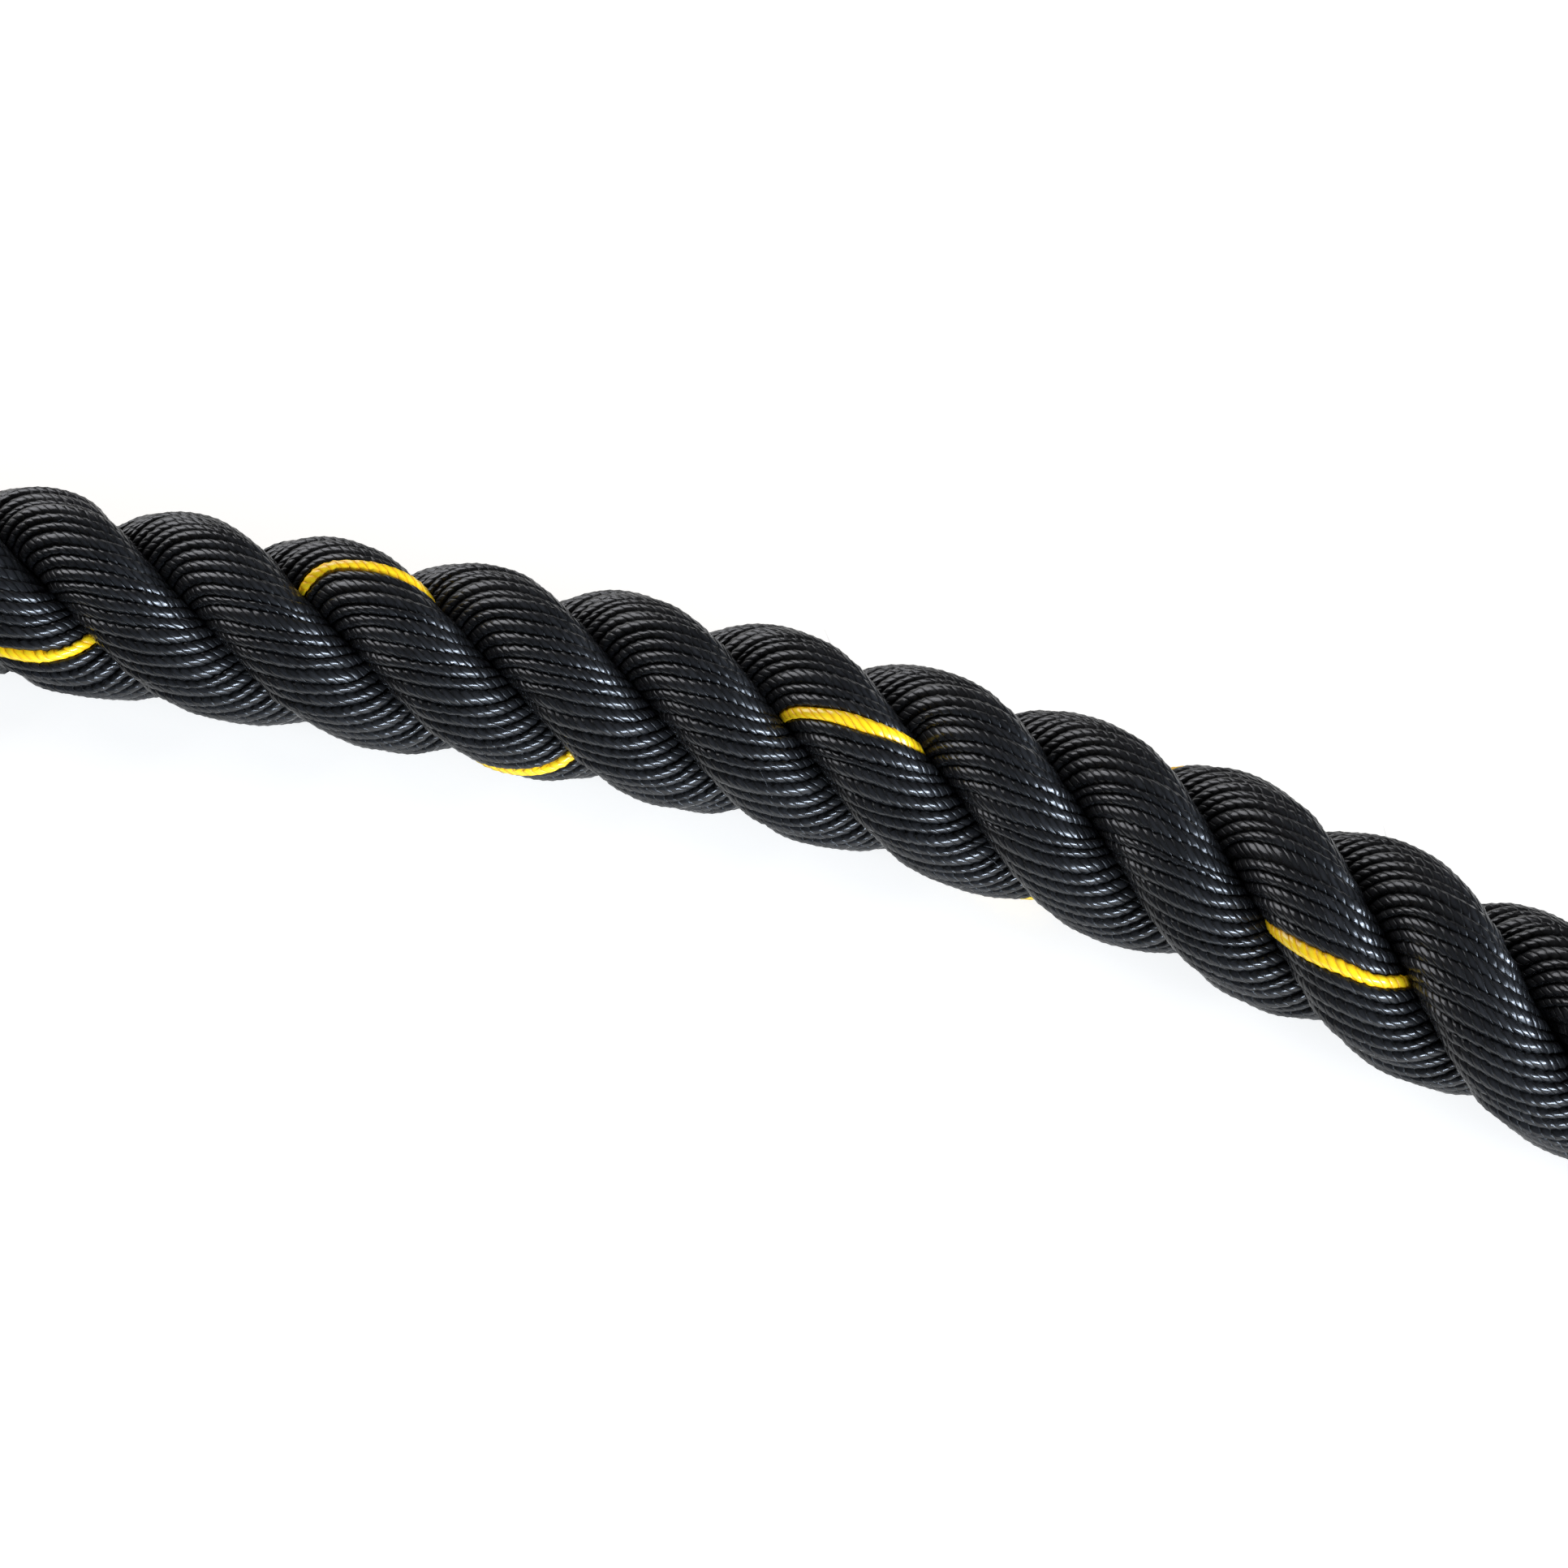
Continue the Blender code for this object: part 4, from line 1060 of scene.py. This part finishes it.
class RopeColours(bpy.types.PropertyGroup):
    black_yarn: bpy.props.FloatVectorProperty(
        name="Rope yarn", description="Colour of the rope's yarns", subtype="COLOR",
        size=4, min=0.0, max=1.0, default=linear("#1a1a1b"))
    tracer_yarn: bpy.props.FloatVectorProperty(
        name="Tracer yarn", description="Colour of the one tracer yarn", subtype="COLOR",
        size=4, min=0.0, max=1.0, default=linear("#ffd61c"))
    grip_rubber: bpy.props.FloatVectorProperty(
        name="Grip rubber", description="Colour of the two sleeves", subtype="COLOR",
        size=4, min=0.0, max=1.0, default=linear("#161617"))
    strap_webbing: bpy.props.FloatVectorProperty(
        name="Strap webbing", description="Colour of the coil's straps", subtype="COLOR",
        size=4, min=0.0, max=1.0, default=linear("#18181a"))


class BATTLEROPE_OT_strands(bpy.types.Operator):
    """Lay the three strands along the free stretch and the coil"""
    bl_idname = "battlerope.strands"
    bl_label = "Strands"

    def execute(self, context):
        line = rope_line()
        colours = context.scene.rope_colours
        black = polyester_yarn("black_polyester_filament_yarn", colours.black_yarn,
                               YARN_ROUGHNESS, YARN_IOR)
        tracer = polyester_yarn("yellow_polyester_filament_yarn", colours.tracer_yarn,
                                TRACER_ROUGHNESS, TRACER_IOR)
        for index in range(STRAND_COUNT):
            name = f"strand_{index + 1}"
            shape = StrandShape(index, context.scene.rope_sizes)
            strand = add_piece(name, strand_mesh(name, shape), black, tracer)
            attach(strand, "root")
        fibre = dull_fibre("stray_polyester_fibre", colours.black_yarn)
        strays = add_piece("stray_fibres", stray_fibre_mesh("stray_fibres"), fibre)
        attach(strays, "root")
        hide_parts("rope_stretch", "rope_coil")
        line.path().tolist()
        return {"FINISHED"}


class BATTLEROPE_OT_grips(bpy.types.Operator):
    """Shrink a rubber sleeve on each end and dress the taped strand ends in it"""
    bl_idname = "battlerope.grips"
    bl_label = "Grips"

    def execute(self, context):
        line = rope_line()
        colours = context.scene.rope_colours
        rubber = shrink_rubber("black_shrink_rubber", colours.grip_rubber)
        tape = woven_cloth("black_cloth_tape", TAPE_THREAD_MM, linear("#1b1b1b"), TAPE_SHEEN)
        cut = woven_cloth("cut_polyester_fibre_ends", CUT_FIBRE_MM, colours.black_yarn, CUT_SHEEN)
        for letter, (mouth, out), along, towards in (("a", line.grip_a, 0.0, -1.0),
                                                     ("b", line.grip_b, line.length, 1.0)):
            name = f"grip_{letter}"
            sleeve = add_piece(name, sleeve_mesh(name, mouth, out, along, towards), rubber)
            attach(sleeve, "root")
            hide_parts(f"grip_sleeve_{letter}")
            frame["nodes"][f"end_tape_{letter}"].material_slots[0].material = tape
            for number in range(1, STRAND_COUNT + 1):
                frame["nodes"][f"strand_end_{letter}{number}"].material_slots[0].material = cut
        return {"FINISHED"}


class BATTLEROPE_OT_straps(bpy.types.Operator):
    """Draw the hook-and-loop straps round the coil"""
    bl_idname = "battlerope.straps"
    bl_label = "Straps"

    def execute(self, context):
        colours = context.scene.rope_colours
        webbing = woven_cloth("black_hook_and_loop_webbing", WEBBING_THREAD_MM,
                              colours.strap_webbing, WEBBING_SHEEN)
        for number, angle in enumerate(STRAP_ANGLES_DEG, 1):
            name = f"strap_{number}"
            strap = add_piece(name, strap_mesh(name, angle), webbing)
            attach(strap, "root")
            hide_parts(f"coil_strap_{number}")
        return {"FINISHED"}


class BATTLEROPE_OT_stage(bpy.types.Operator):
    """Set the floor, the lamps and the camera"""
    bl_idname = "battlerope.stage"
    bl_label = "Studio"

    def execute(self, context):
        line = rope_line()
        target = Vector(line.shift) + Vector((0.0, 0.0, LOOSE_HEIGHT))
        mesh = bpy.data.meshes.new("floor")
        corners = [(x * FLOOR_REACH, y * FLOOR_REACH, 0.0) for x, y in ((-1, -1), (1, -1), (1, 1), (-1, 1))]
        mesh.from_pydata(corners, [], [(0, 1, 2, 3)])
        floor = add_piece("floor", mesh, white_paper("matt_white_paper", line.shift))

        for name, place, width, height, power, colour in LAMPS:
            lamp = bpy.data.lights.new(name, "AREA")
            lamp.shape = "RECTANGLE"
            lamp.size, lamp.size_y = width, height
            lamp.energy = power
            lamp.color = linear(colour)[:3]
            aimed_at(target, Vector(place), name, lamp)

        context.scene.world = plain_studio("plain_studio")

        camera = bpy.data.cameras.new("camera")
        camera.lens = CAMERA_LENS_MM
        camera.sensor_width = SENSOR_MM
        camera.sensor_fit = "HORIZONTAL"
        camera.clip_start = CLIP_START
        elevation = math.radians(CAMERA_ELEVATION_DEG)
        back = Vector((0.0, -math.cos(elevation), math.sin(elevation)))
        context.scene.camera = aimed_at(target, back * CAMERA_DISTANCE, "camera", camera)
        context.scene.view_settings.view_transform = "Standard"
        return {"FINISHED"}


class BATTLEROPE_PT_panel(bpy.types.Panel):
    """Sizes, colours and pieces of the battle rope"""
    bl_idname = "BATTLEROPE_PT_panel"
    bl_label = "Battle Rope"
    bl_space_type = "VIEW_3D"
    bl_region_type = "UI"
    bl_category = "Battle Rope"

    def draw(self, context):
        for group in (context.scene.rope_sizes, context.scene.rope_colours):
            for name in group.__annotations__:
                self.layout.prop(group, name)
        for operator in OPERATORS:
            self.layout.operator(operator.bl_idname)


OPERATORS = (
    BATTLEROPE_OT_strands,
    BATTLEROPE_OT_grips,
    BATTLEROPE_OT_straps,
    BATTLEROPE_OT_stage,
)
CLASSES = (RopeSizes, RopeColours, *OPERATORS, BATTLEROPE_PT_panel)


def register():
    for item in CLASSES:
        bpy.utils.register_class(item)
    bpy.types.Scene.rope_sizes = bpy.props.PointerProperty(type=RopeSizes)
    bpy.types.Scene.rope_colours = bpy.props.PointerProperty(type=RopeColours)


def unregister():
    del bpy.types.Scene.rope_colours
    del bpy.types.Scene.rope_sizes
    for item in reversed(CLASSES):
        bpy.utils.unregister_class(item)


def main():
    register()
    bpy.ops.battlerope.strands()
    bpy.ops.battlerope.grips()
    bpy.ops.battlerope.straps()
    bpy.ops.battlerope.stage()


if __name__ == "__main__":
    main()
